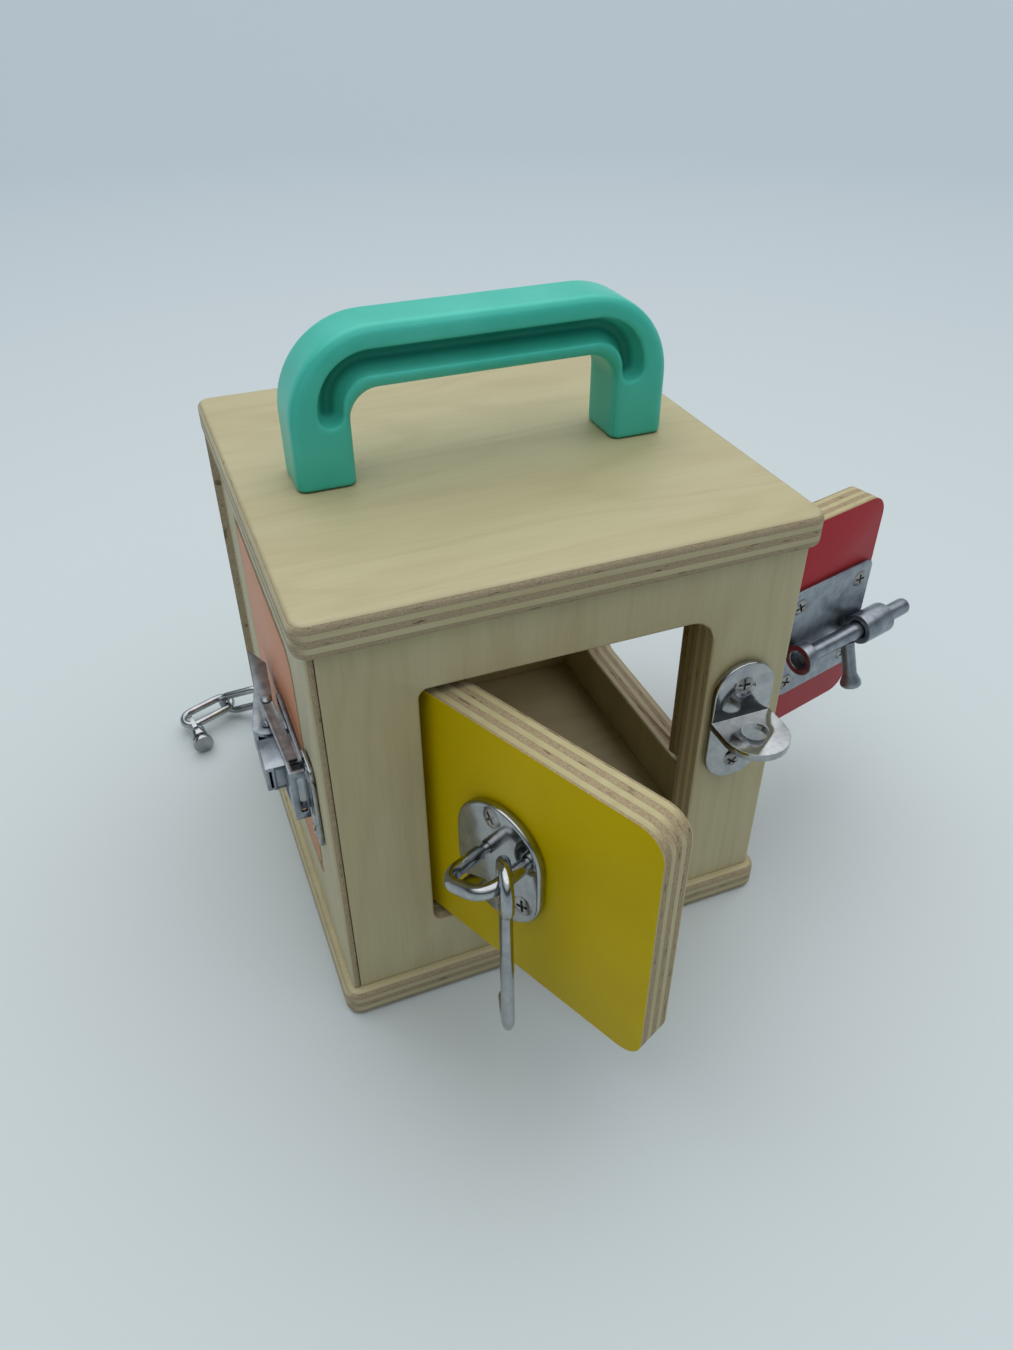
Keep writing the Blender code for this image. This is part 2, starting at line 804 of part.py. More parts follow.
def barrelBolt(hinge, doorPiece):
    bore = boltRadius + boltPlay
    face = doorFace - seatGap - boltPlateThick
    axisOut = face - bore - sleeveWall + sleeveSink
    low = boltPlateHeight - boltPlateTall / 2
    high = boltPlateHeight + boltPlateTall / 2
    outline = roundedOutline(
        boltPlateStart, low, boltPlateStart + boltPlateWide, high, [boltPlateCorner] * 4
    )
    plate = piece(
        "bolt_plate",
        flatMesh(outline, boltPlateThick),
        "steel",
        hinge,
        at(y=doorFace - seatGap - boltPlateThick / 2) @ facing,
    )
    ease(plate, boltPlateThick / 4, 1)
    middle = boltPlateStart + boltPlateWide / 2
    places = [
        at(middle + across * boltScrewsWide / 2, face, boltPlateHeight + up * boltScrewsTall / 2) @ facing
        for across in (-1, 1)
        for up in (-1, 1)
    ]
    fixWithScrews("bolt_plate_screw", hinge, plate, doorPiece, places)
    rear = sleeveMesh(boltPlateStart, rearSleeveLong, bore, axisOut)
    front = sleeveMesh(frontSleeveStart, frontSleeveLong, bore, axisOut)
    sleeves = cutter("bolt_sleeves", together([rear, front], [Matrix(), Matrix()]), hinge)
    join(plate, sleeves)

    axis = frameAt("bolt_axis", hinge, at(0.0, axisOut, boltHeight))
    profile = [(0.0, boltOut), (boltRadius - boltDome, boltOut)]
    profile += [
        (radius, boltOut - boltDome + height)
        for radius, height in arc((boltRadius - boltDome, 0.0), boltDome, 90, 0, wireSteps)[1:]
    ]
    profile += [(boltRadius, boltOut - boltLong), (0.0, boltOut - boltLong)]
    rodPiece = piece("bolt_rod", turnedMesh(profile, turnSteps), "steel", axis, turn(90, "Y"))
    swing = at(knobAlong) @ turn(180 - knobSwing, "X")
    stem = boltRadius + seatGap
    knobProfile = [
        (0.0, knobReach),
        (knobEnd - knobEndLong / 4, knobReach),
        (knobEnd, knobReach - knobEndLong / 4),
        (knobEnd, knobReach - knobEndLong / 2),
        (knobStem, knobReach - knobEndLong),
        (knobStem, stem),
        (knobTenon, stem),
        (knobTenon, 0.0),
        (0.0, 0.0),
    ]
    piece("bolt_knob", turnedMesh(knobProfile, turnSteps), "steel", axis, swing)
    socket = rod(knobTenon + seatGap, -seatGap, boltRadius + overrun, screwSteps)
    cut(rodPiece, cutter("knob_socket", socket, axis, swing))
    return axisOut


def boltKeeper(frame, wallPiece, axisOut):
    """Plate with a sleeve that takes the thrown bolt. The bolt's axis is given in the door's frame."""
    out = middlePlane + axisOut
    face = outerFace - seatGap - boltPlateThick
    low = boltHeight - boltKeeperTall / 2
    half = boltKeeperWide / 2
    outline = roundedOutline(
        boltKeeperAlong - half,
        low,
        boltKeeperAlong + half,
        low + boltKeeperTall,
        [boltPlateCorner] * 4,
    )
    plate = piece(
        "bolt_keeper",
        flatMesh(outline, boltPlateThick),
        "steel",
        frame,
        at(y=outerFace - seatGap - boltPlateThick / 2) @ facing,
    )
    ease(plate, boltPlateThick / 4, 1)
    places = [
        at(boltKeeperAlong, face, boltHeight + up * boltKeeperScrews / 2) @ facing for up in (-1, 1)
    ]
    fixWithScrews("bolt_keeper_screw", frame, plate, wallPiece, places)
    bore = -(out - face) - sleeveWall + sleeveSink
    ring = sleeveMesh(boltKeeperAlong - boltKeeperSleeve / 2, boltKeeperSleeve, bore, out)
    join(plate, cutter("keeper_sleeve", ring, frame))


# Left door: toggle latch and keeper

def levelSheet(outline, wide, middle=0.0):
    """Level sheet of a given width, from an outline in X and distance out of the door's face."""
    mesh = flatMesh([(x, doorFace - out) for x, out in outline], wide)
    mesh.transform(at(z=middle))
    return mesh


def rivetMesh(radius, half, headRadius, rise):
    """Pin with a domed head beyond each end of the span that it holds."""
    side = [
        (0.0, half + rise),
        (headRadius / 2, half + rise),
        (headRadius, half),
        (radius, half),
    ]
    return turnedMesh(side + [(reach, -height) for reach, height in reversed(side)], screwSteps)


def latchBase(hinge, doorPiece, pivot):
    """Plate on the door, with the knuckle of the lever's pivot, its riveted pin and the raised housing."""
    face = seatGap + latchSheet
    root = seatGap + latchSheet / 2
    end = latchBaseStart + latchBaseLong
    low = latchHeight - latchBaseDrop
    outline = roundedOutline(latchBaseStart, low, end, low + latchBaseTall, [latchCorner] * 4)
    lay = at(y=doorFace - root) @ facing
    base = piece("latch_base", flatMesh(outline, latchSheet), "steel", hinge, lay)
    height = latchHeight - latchScrewDrop
    starts = (latchBaseStart + latchScrewInset, end - latchScrewInset)
    places = [at(x, doorFace - face, height) @ facing for x in starts]
    fixWithScrews("latch_base_screw", hinge, base, doorPiece, places)

    level = at(z=latchHeight)
    knuckle = arc(pivot, leverKnuckle, 0, 180)
    knuckle += [(pivot[0] - leverKnuckle, root), (pivot[0] + leverKnuckle, root)]
    join(base, cutter("latch_knuckle", levelSheet(knuckle, leverKnuckleWide), hinge, level))
    housingEnd = housingStart + housingLong
    housing = [(housingStart, root), (housingStart, housingOut), (housingEnd, housingOut), (housingEnd, root)]
    box = cutter("latch_housing", levelSheet(housing, leverWide), hinge, level)
    ease(box, latchSheet / 2)
    join(base, box)
    hollow = [
        (housingStart + latchSheet, face),
        (housingStart + latchSheet, housingOut - latchSheet),
        (housingEnd + overrun, housingOut - latchSheet),
        (housingEnd + overrun, face),
    ]
    inside = leverWide - 2 * latchSheet
    cut(base, cutter("latch_housing_hollow", levelSheet(hollow, inside), hinge, level))
    pin = rivetMesh(leverPin, leverWide / 2 + seatGap, leverRivet, leverRivetRise)
    join(base, cutter("latch_pin", pin, hinge, at(pivot[0], doorFace - pivot[1], latchHeight)))


def latchLever(axis, home, pivot, clawPivot):
    """Channel, open towards the door, with a round nose about its pivot and the claw's pin through it."""
    tip = pivot[0] - leverLong
    waist = pivot[0] - leverWaistBack
    toe = pivot[0] - leverToeBack
    top = pivot[1] + leverNose
    outline = [(toe, leverToeOut), (tip, leverTipOut), (waist, leverWaistOut)]
    outline += arc(pivot, leverNose, 90, -60, 2 * arcSteps)
    outline += [(clawPivot[0] - clawArm, clawPivot[1] - clawArm)]
    lever = piece("latch_lever", levelSheet(outline, leverWide), "steel", axis, home)
    pocket = [
        (toe, -overrun),
        (tip + latchSheet, leverTipOut - latchSheet),
        (waist, leverWaistOut - latchSheet),
        (pivot[0], top - latchSheet),
        (pivot[0] + leverNose + overrun, top - latchSheet),
        (pivot[0] + leverNose + overrun, -overrun),
    ]
    inside = leverWide - 2 * latchSheet
    cut(lever, cutter("lever_pocket", levelSheet(pocket, inside), axis, home))
    half = leverWide / 2 + overrun
    cut(lever, cutter("lever_bore", rod(leverPin + seatGap, -half, half, screwSteps), axis))
    return lever


def latchClaw(axis, home, clawPivot):
    """Frame with two arms on the lever's pin, a bridge, and a slotted end that turns down past the lip."""
    nose = seatGap + latchSheet + seatGap
    bridgeOut = nose + clawEndTall
    end = clawLipFar + latchSlack + latchSheet
    outline = [
        (clawBridgeStart, bridgeOut - latchSheet),
        (clawBridgeStart, bridgeOut),
        (end, bridgeOut),
        (end, nose),
        (end - latchSheet, nose),
        (end - latchSheet, bridgeOut - latchSheet),
    ]
    claw = piece("latch_claw", levelSheet(outline, clawWide), "steel", axis, home)
    armEnd = (clawBridgeStart + latchSheet, clawPivot[1] - clawFall)
    arm = arc(clawPivot, clawArm, 90, 270)
    arm += [(armEnd[0], armEnd[1] - clawArm), (armEnd[0], armEnd[1] + clawArm)]
    for name, side in (("claw_arm_low", -1), ("claw_arm_high", 1)):
        sheet = levelSheet(arm, latchSheet, side * (clawWide - latchSheet) / 2)
        join(claw, cutter(name, sheet, axis, home))
    half = clawWide / 2 + overrun
    cut(claw, cutter("claw_bore", rod(clawPin + seatGap, -half, half, screwSteps), axis))
    slot = flatMesh(obround(clawSlotLong, clawSlotWide), latchSheet + 2 * overrun)
    middle = at(end - latchSheet / 2, doorFace - (nose + bridgeOut - latchSheet) / 2)
    cut(claw, cutter("claw_slot", slot, axis, home @ middle @ turn(90, "Z") @ facing))


def toggleLatch(hinge, doorPiece):
    """Over-centre latch: the claw's pivot sits behind the lever's and nearer the door."""
    pivot = (leverPivotAlong, leverPivotOut)
    clawPivot = (pivot[0] - clawPivotBack, pivot[1] - clawPivotDrop)
    latchBase(hinge, doorPiece, pivot)
    axis = frameAt("lever_axis", hinge, at(pivot[0], doorFace - pivot[1], latchHeight))
    lever = latchLever(axis, at(-pivot[0], pivot[1] - doorFace), pivot, clawPivot)
    clawAxis = frameAt("claw_axis", axis, at(-clawPivotBack, clawPivotDrop))
    pin = rivetMesh(clawPin, clawWide / 2 + seatGap, clawArm, clawRivetRise)
    join(lever, cutter("claw_pin", pin, clawAxis))
    latchClaw(clawAxis, at(-clawPivot[0], clawPivot[1] - doorFace), clawPivot)


def latchKeeper(frame, wallPiece):
    """Plate on the wall with an upright lip, which the claw hooks over from the far side."""
    low = latchHeight - keeperTall / 2
    end = keeperStart + keeperLong
    outline = roundedOutline(keeperStart, low, end, low + keeperTall, [latchCorner] * 4)
    root = seatGap + latchSheet / 2
    lay = at(y=outerFace - root) @ facing
    plate = piece("latch_keeper", flatMesh(outline, latchSheet), "chrome", frame, lay)
    lipNear = keeperLipFar - latchSheet
    lip = [(lipNear, root), (lipNear, lipOut), (keeperLipFar, lipOut), (keeperLipFar, root)]
    level = at(y=outerFace - doorFace, z=latchHeight)
    join(plate, cutter("keeper_lip", levelSheet(lip, lipWide), frame, level))
    face = outerFace - seatGap - latchSheet
    places = [
        at(keeperScrewAlong, face, latchHeight + up * keeperScrews / 2) @ facing for up in (-1, 1)
    ]
    fixWithScrews("latch_keeper_screw", frame, plate, wallPiece, places)


# Back door: chain, stud and track

def chainPlate(frame, wallPiece):
    face = outerFace - seatGap - chainPlateThick
    plate = piece(
        "chain_plate",
        flatMesh(obround(chainPlateLong, chainPlateWide), chainPlateThick),
        "chrome",
        frame,
        at(chainAlong, outerFace - seatGap - chainPlateThick / 2, chainHeight) @ facing,
    )
    ease(plate, chainPlateThick / 4, 1)
    places = [at(chainAlong, face, chainHeight + up * chainPlateScrews / 2) @ facing for up in (-1, 1)]
    fixWithScrews("chain_plate_screw", frame, plate, wallPiece, places)
    half = chainEyeSpan / 2
    end = outerFace - chainEyeReach
    route = [(-half, face + chainPlateThick / 2)]
    route += arc((-half + chainEyeBend, end + chainEyeBend), chainEyeBend, 180, 270, wireSteps)
    route += arc((half - chainEyeBend, end + chainEyeBend), chainEyeBend, 270, 360, wireSteps)
    route += [(half, face + chainPlateThick / 2)]
    eye = wireMesh([(x, y, 0.0) for x, y in route], chainWire, False, 2)
    join(plate, cutter("chain_eye", eye, frame, at(chainAlong, 0.0, chainHeight)))


def chainLinks(frame):
    """Five links and the stud, each on the last one's end wire, hanging down the wall to lie on the ground.

    A link runs down its own Z from the wire it rides on, which is its own X axis.
    """
    reach = 2 * chainWire + seatGap
    bend = chainLinkWide / 2 - chainWire
    straight = chainLinkLong / 2 - chainLinkWide / 2
    middle = reach - chainLinkLong / 2 + chainWire
    route = arc((0.0, middle + straight), bend, 0, 180) + arc((0.0, middle - straight), bend, 180, 360)
    link = wireMesh([(0.0, y, z) for y, z in route], chainWire, True, 2)
    farEnd = at(z=middle - straight)
    held = frameAt("chain_eye_frame", frame, at(chainAlong, outerFace - chainEyeReach, chainHeight))
    ride = Matrix()
    for number, (slide, bent, aside) in enumerate(chainLie, 1):
        stud = number == len(chainLie)
        name = "chain_stud" if stud else f"chain_link_{number}"
        swing = at(z=reach) @ turn(aside, "Y") @ at(z=-reach) if not stud else turn(aside, "Y")
        if number > 1:
            ride = farEnd @ turn(slide, "X") @ at(z=-bend) @ turn(90, "Z")
        held = frameAt(name + "_joint", held, ride @ turn(bent, "X"))
        place = swing
        if not stud:
            piece(name, link, "chrome", held, place)
            held = frameAt(name + "_end", held, place)
        else:
            chainStud(held, place)


def chainStud(frame, place):
    """Stud with a disc head on a neck, a barrel, and a flat lug whose hole rides on the last link."""
    barrelTop = -studLugLong
    barrelEnd = barrelTop - studBarrelLong
    neckEnd = barrelEnd - studNeckLong
    profile = [
        (0.0, barrelTop),
        (studBarrel, barrelTop),
        (studBarrel, barrelEnd),
        (studNeck, barrelEnd),
        (studNeck, neckEnd),
        (studHead, neckEnd),
        (studHead, neckEnd - studHeadThick),
        (0.0, neckEnd - studHeadThick),
    ]
    made = piece("chain_stud", turnedMesh(profile), "chrome", frame, place)
    outline = arc((0.0, 0.0), studLugRadius, 0, 180, 2 * arcSteps)
    outline += [(-studLugRadius, barrelTop - studLug), (studLugRadius, barrelTop - studLug)]
    lug = flatMesh(outline, studLug, [circle(studBore)])
    join(made, cutter("stud_lug", lug, frame, place @ turn(90, "Z") @ facing))


def chainTrack(hinge, doorPiece):
    """Plate with a raised channel: the stud's head goes in at the round entry and along the slot."""
    height = chainHeight + trackWide / 2
    side = turn(90, "Z")
    face = doorFace - seatGap - trackThick
    top = trackThick + trackChannelRise
    level = at(trackMiddle, 0.0, height)

    def sheet(name, length, width, low, high, shift=0.0):
        mesh = flatMesh(obround(length, width), high - low)
        out = doorFace - seatGap - (low + high) / 2
        return cutter(name, mesh, hinge, level @ at(shift, out) @ facing @ side)

    plate = piece(
        "chain_track",
        flatMesh(obround(trackLong, trackWide), trackThick),
        "chrome",
        hinge,
        level @ at(y=doorFace - seatGap - trackThick / 2) @ facing @ side,
    )
    places = [at(trackMiddle + way * trackScrews / 2, face, height) @ facing for way in (-1, 1)]
    join(plate, sheet("track_channel", trackChannelLong, trackChannelWide, trackThick / 2, top))
    inside = trackChannelWide - 2 * trackThick
    pocket = trackChannelLong - 2 * trackThick
    cut(plate, sheet("track_pocket", pocket, inside, -overrun, top - trackThick))
    slot = trackChannelLong - 2 * trackThick - inside + trackSlotWide
    cut(plate, sheet("track_slot", slot, trackSlotWide, trackThick, top + overrun))
    entry = rod(trackEntry, -overrun - top, overrun)
    entryAlong = trackMiddle - pocket / 2 + inside / 2
    cut(plate, cutter("track_entry", entry, hinge, at(entryAlong, doorFace - top, height) @ facing))
    fixWithScrews("chain_track_screw", hinge, plate, doorPiece, places)


clearScene()
parts = newCollection("Wooden latch box")
cutters = newCollection("Cutters")
frames = newCollection("Frames")

basePlate = outerPlate("base_plate", 0.0, baseThick)
topPlate = outerPlate("top_plate", wallHigh, topThick)
handle(topPlate)

walls = {}
doors = {}
sides = {}
hinges = {}
for index, (side, colour, opened) in enumerate(
    (
        ("front", "yellow", frontDoorOpen),
        ("right", "red", rightDoorOpen),
        ("back", "green", 0.0),
        ("left", "orange", 0.0),
    )
):
    sides[side] = frameAt(side + "_side", None, turn(90 * index, "Z"))
    hinges[side] = frameAt(side + "_hinge", sides[side], at(hingeAlong, middlePlane) @ turn(-opened, "Z"))
    walls[side] = wall(side, sides[side], backLipProud if side == "back" else 0.0)
    doors[side] = door(side, colour, hinges[side])
    pivotPins(side, hinges[side], walls[side], doors[side])

eyePlateAndStaple(hinges["front"], doors["front"])
hook(hinges["front"])
strikePlate(sides["front"], walls["front"])
boltAxisOut = barrelBolt(hinges["right"], doors["right"])
boltKeeper(sides["right"], walls["right"], boltAxisOut)
toggleLatch(hinges["left"], doors["left"])
latchKeeper(sides["left"], walls["left"])
chainPlate(sides["back"], walls["back"])
chainLinks(sides["back"])
chainTrack(hinges["back"], doors["back"])
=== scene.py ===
# Wooden latch box: finishes, rounder forms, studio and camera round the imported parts.
# Lengths are in metres. Each wall stands at -Y in its own frame, and its door turns about the hinge line.

import json
import math

import bpy
import numpy
from mathutils import Matrix, Vector


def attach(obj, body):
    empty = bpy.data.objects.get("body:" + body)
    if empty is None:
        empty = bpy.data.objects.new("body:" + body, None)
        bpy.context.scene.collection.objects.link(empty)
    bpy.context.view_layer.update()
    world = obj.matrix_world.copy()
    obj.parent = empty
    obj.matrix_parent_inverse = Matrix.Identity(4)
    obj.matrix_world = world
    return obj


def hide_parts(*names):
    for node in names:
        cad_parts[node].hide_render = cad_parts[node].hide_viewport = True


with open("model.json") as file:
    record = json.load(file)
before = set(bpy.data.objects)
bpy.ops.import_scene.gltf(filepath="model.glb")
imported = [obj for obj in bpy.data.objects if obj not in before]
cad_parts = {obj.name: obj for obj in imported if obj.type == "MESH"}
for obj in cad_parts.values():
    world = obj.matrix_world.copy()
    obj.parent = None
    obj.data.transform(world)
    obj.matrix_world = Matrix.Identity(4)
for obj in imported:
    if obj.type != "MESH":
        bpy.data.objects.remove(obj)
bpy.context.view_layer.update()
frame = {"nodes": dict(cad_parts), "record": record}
nodes = frame["nodes"]
bodyOf = {name: body for body, names in frame["record"]["behaviour"]["bodies"].items() for name in names}

mm = 0.001
near = 0.01 * mm  # tolerance for picking by place and for merging
over = 1.0 * mm  # how far a bore runs past what it cuts
sides = ("front", "right", "back", "left")

box = {
    "span": 150.0 * mm,
    "plywood": 11.5 * mm,
    "baseThick": 11.0 * mm,
    "wallHigh": 145.5 * mm,
    "topHigh": 156.5 * mm,
    "hingeAlong": -38.0 * mm,
    "seat": 0.3 * mm,  # gap under a fitting
    "openDegrees": {"front": 65.6, "right": 75.5, "back": 0.0, "left": 0.0},
}
outerFace = -box["span"] / 2
middlePlane = outerFace + box["plywood"] / 2
doorFace = -box["plywood"] / 2


def turn(degrees, axis):
    return Matrix.Rotation(math.radians(degrees), 4, axis)


def at(x=0.0, y=0.0, z=0.0):
    return Matrix.Translation((x, y, z))


def wallFrame(side):
    return turn(90 * sides.index(side), "Z")


def doorFrame(side):
    hinge = at(box["hingeAlong"], middlePlane)
    return wallFrame(side) @ hinge @ turn(-box["openDegrees"][side], "Z")


def rgb(red, green, blue):
    # display colour to linear
    values = [v / 255 for v in (red, green, blue)]
    return tuple(v / 12.92 if v <= 0.04045 else ((v + 0.055) / 1.055) ** 2.4 for v in values) + (1.0,)


# finishes
class Graph:
    # wires the nodes of one material or world
    def __init__(self, owner):
        owner.use_nodes = True
        self.owner = owner
        self.tree = owner.node_tree
        self.shader = self.tree.nodes.get("Principled BSDF")
        self.coords = self.tree.nodes.new("ShaderNodeTexCoord").outputs

    def node(self, kind, **settings):
        made = self.tree.nodes.new("ShaderNode" + kind)
        for key, value in settings.items():
            setattr(made, key, value)
        return made

    def feed(self, value, socket):
        if isinstance(value, bpy.types.NodeSocket):
            self.tree.links.new(value, socket)
        else:
            socket.default_value = value

    def math(self, operation, first, second=0.0, third=0.0, clamp=False):
        made = self.node("Math", operation=operation, use_clamp=clamp)
        for socket, value in zip(made.inputs, (first, second, third)):
            self.feed(value, socket)
        return made.outputs[0]

    def split(self, vector):
        made = self.node("SeparateXYZ")
        self.feed(vector, made.inputs[0])
        return tuple(made.outputs)

    def mapped(self, source, location=(0, 0, 0), rotation=(0, 0, 0), scale=(1, 1, 1), kind="POINT"):
        made = self.node("Mapping", vector_type=kind)
        self.feed(source, made.inputs["Vector"])
        if kind == "POINT":
            made.inputs["Location"].default_value = location
        made.inputs["Rotation"].default_value = rotation
        made.inputs["Scale"].default_value = scale
        return made.outputs[0]

    def noise(self, source, scale, detail=3.0, rough=0.5, distortion=0.0):
        made = self.node("TexNoise")
        self.feed(source, made.inputs["Vector"])
        made.inputs["Scale"].default_value = scale
        made.inputs["Detail"].default_value = detail
        made.inputs["Roughness"].default_value = rough
        made.inputs["Distortion"].default_value = distortion
        return made.outputs["Fac"]

    def ramp(self, source, stops, interpolation="LINEAR"):
        made = self.node("ValToRGB")
        made.color_ramp.interpolation = interpolation
        elements = made.color_ramp.elements
        while len(elements) > 1:
            elements.remove(elements[-1])
        for index, (place, colour) in enumerate(stops):
            element = elements[0] if index == 0 else elements.new(place)
            element.position = place
            element.color = colour if len(colour) == 4 else (*colour, 1.0)
        self.feed(source, made.inputs["Fac"])
        return made.outputs["Color"]

    def grey(self, source, stops, interpolation="LINEAR"):
        return self.ramp(source, [(place, (value,) * 3) for place, value in stops], interpolation)

    def mix(self, share, first, second, blend="MIX"):
        made = self.node("Mix", data_type="RGBA", blend_type=blend)
        self.feed(share, made.inputs[0])
        self.feed(first, made.inputs[6])
        self.feed(second, made.inputs[7])
        return made.outputs[2]

    def bump(self, height, distance, strength):
        made = self.node("Bump")
        made.inputs["Distance"].default_value = distance
        made.inputs["Strength"].default_value = strength
        self.feed(height, made.inputs["Height"])
        return made.outputs[0]

    def finish(self, colour, roughness, metallic, normal):
        self.feed(colour, self.shader.inputs["Base Color"])
        self.feed(roughness, self.shader.inputs["Roughness"])
        self.shader.inputs["Metallic"].default_value = metallic
        self.feed(normal, self.shader.inputs["Normal"])
        return self.owner


wood = {
    "veneerLight": rgb(196, 188, 152),
    "veneerDark": rgb(176, 164, 122),
    "figure": rgb(158, 142, 100),
    "endLight": rgb(184, 168, 138),
    "endDark": rgb(138, 120, 94),
    "glueLine": rgb(118, 100, 74),
    "layers": (0.06, 0.235, 0.41, 0.59, 0.765, 0.94),  # glue lines, as shares of the thickness
    "glueHalf": 0.012,
    "glueShare": 0.55,
    "wander": 0.5 * mm,
    "wanderScale": 14.0,
    "grainStretch": 0.05,
    "fibreScale": 900.0,
    "poreScale": 1500.0,
    "crackScale": 420.0,
    "figureStretch": 0.16,
    "figureScale": 26.0,
    "figureRings": 62.0,
    "figureShare": 0.16,
    "mottleScale": 60.0,
    "streakShare": 0.55,
    "lacquer": 0.46,
    "endGrain": 0.72,
    "relief": 0.12 * mm,
}
paints = {
    "front": rgb(202, 176, 0),
    "right": rgb(176, 56, 63),
    "back": rgb(108, 156, 74),
    "left": rgb(208, 138, 98),
}
paintLook = {
    "skin": 0.12 * mm,
    "flatness": 0.8,
    "shade": 0.93,
    "cloudScale": 35.0,
    "peelScale": 1400.0,
    "peelShare": 0.14,
    "roughness": 0.33,
    "specular": 0.14,
}


def stretched(share, direction):
    # scale of a pattern that is drawn out along X or Z
    return (share, 1, 1) if direction == "X" else (1, 1, share)


def plywoodFinish(name, place, thickness, paint=None, grain="Z"):
    # solid plywood, its sheets stacked along the local Y of place
    look = Graph(bpy.data.materials.new(name))
    crossGrain = "Z" if grain == "X" else "X"
    inverse = place.inverted()
    spin = inverse.to_euler("XYZ")
    local = look.mapped(look.coords["Object"], inverse.translation, spin)
    depth = look.split(local)[1]
    normal = look.split(look.mapped(look.coords["Normal"], rotation=spin, kind="VECTOR"))
    facesAlong = look.math("ABSOLUTE", normal[0 if grain == "X" else 2])
    facesAcross = look.math("ABSOLUTE", normal[2 if grain == "X" else 0])

    # the sheets wander a little along the board
    wander = look.noise(local, wood["wanderScale"], 2.0)
    wandered = look.math("MULTIPLY_ADD", wander, wood["wander"], -wood["wander"] / 2)
    share = look.math("DIVIDE", look.math("ADD", depth, wandered), thickness)
    stack = look.math("ADD", share, 0.5, clamp=True)
    turns = [(0.0, 1.0)] + [(edge, index % 2) for index, edge in enumerate(wood["layers"])]
    parity = look.grey(stack, turns, "CONSTANT")
    lines = []
    for edge in wood["layers"]:
        lines += [(edge - wood["glueHalf"], 0.0), (edge, 1.0), (edge + wood["glueHalf"], 0.0)]
    glue = look.grey(stack, lines)

    # grain of the two sheet directions, and the pores and cracks of a cut end
    alongGrain = look.mapped(local, scale=stretched(wood["grainStretch"], grain))
    acrossGrain = look.mapped(local, scale=stretched(wood["grainStretch"], crossGrain))
    fibre = look.mix(parity, look.noise(acrossGrain, wood["fibreScale"], 4.0, 0.6),
                     look.noise(alongGrain, wood["fibreScale"], 4.0, 0.6))
    pores = look.noise(look.mapped(local, scale=(1, 2.2, 1)), wood["poreScale"], 3.0, 0.7)
    cracks = look.noise(look.mapped(local, scale=(0.35, 2.5, 0.35)), wood["crackScale"], 2.0, 0.6)

    # broad figure of the face sheet
    figured = look.mapped(local, scale=stretched(wood["figureStretch"], grain))
    hills = look.noise(figured, wood["figureScale"], 2.0, 0.45, 0.4)
    rings = look.math("SINE", look.math("MULTIPLY", hills, wood["figureRings"]))
    figure = look.math("POWER", look.math("MULTIPLY_ADD", rings, 0.5, 0.5), 3.0)
    mottle = look.noise(figured, wood["mottleScale"], 3.0, 0.6)

    veneer = look.mix(mottle, wood["veneerDark"], wood["veneerLight"])
    veneer = look.mix(look.math("MULTIPLY", figure, wood["figureShare"]), veneer, wood["figure"])
    streaks = look.ramp(fibre, [(0.30, (0.88, 0.87, 0.84)), (0.55, (1.0, 1.0, 1.0))])
    veneer = look.mix(wood["streakShare"], veneer, streaks, "MULTIPLY")
    endColour = look.mix(look.grey(pores, [(0.3, 0.0), (0.7, 1.0)]), wood["endDark"], wood["endLight"])
    darkened = look.ramp(cracks, [(0.31, (0.38, 0.32, 0.25)), (0.37, (1.0, 1.0, 1.0))])
    endColour = look.mix(1.0, endColour, darkened, "MULTIPLY")
    cutEnd = look.grey(look.mix(parity, facesAcross, facesAlong), [(0.25, 0.0), (0.75, 1.0)])
    colour = look.mix(cutEnd, veneer, endColour)
    edgeness = look.grey(look.math("MAXIMUM", facesAlong, facesAcross), [(0.3, 0.0), (0.6, 1.0)])
    glued = look.math("MULTIPLY", look.math("MULTIPLY", glue, wood["glueShare"]), edgeness)
    colour = look.mix(glued, colour, wood["glueLine"])
    roughness = look.math("MULTIPLY_ADD", cutEnd, wood["endGrain"] - wood["lacquer"], wood["lacquer"])
    roughness = look.math("MULTIPLY_ADD", fibre, 0.12, look.math("SUBTRACT", roughness, 0.06))
    relief = look.math("SUBTRACT", look.math("MULTIPLY", fibre, 0.35),
                       look.math("MULTIPLY", cutEnd, look.math("SUBTRACT", 1.0, pores)))
    if paint is not None:
        # paint lies on the flat faces only and stops where the edge is eased
        skin = look.math("GREATER_THAN", look.math("ABSOLUTE", depth), thickness / 2 - paintLook["skin"])
        flat = look.math("GREATER_THAN", look.math("ABSOLUTE", normal[1]), paintLook["flatness"])
        coat = look.math("MULTIPLY", skin, flat)
        shade = tuple(paintLook["shade"] * part for part in paint[:3])
        tone = look.ramp(look.noise(local, paintLook["cloudScale"], 3.0), [(0.35, shade), (0.65, paint)])
        colour = look.mix(coat, colour, tone)
        peel = look.noise(local, paintLook["peelScale"], 2.0)
        sheen = look.math("MULTIPLY_ADD", peel, paintLook["peelShare"], paintLook["roughness"])
        roughness = look.mix(coat, roughness, sheen)
        ripple = look.math("MULTIPLY_ADD", peel, 0.25, look.math("MULTIPLY", fibre, 0.12))
        relief = look.mix(coat, relief, ripple)
        look.shader.inputs["Specular IOR Level"].default_value = paintLook["specular"]
        look.shader.inputs["Specular Tint"].default_value = paint
    return look.finish(colour, roughness, 0.0, look.bump(relief, wood["relief"], 0.8))


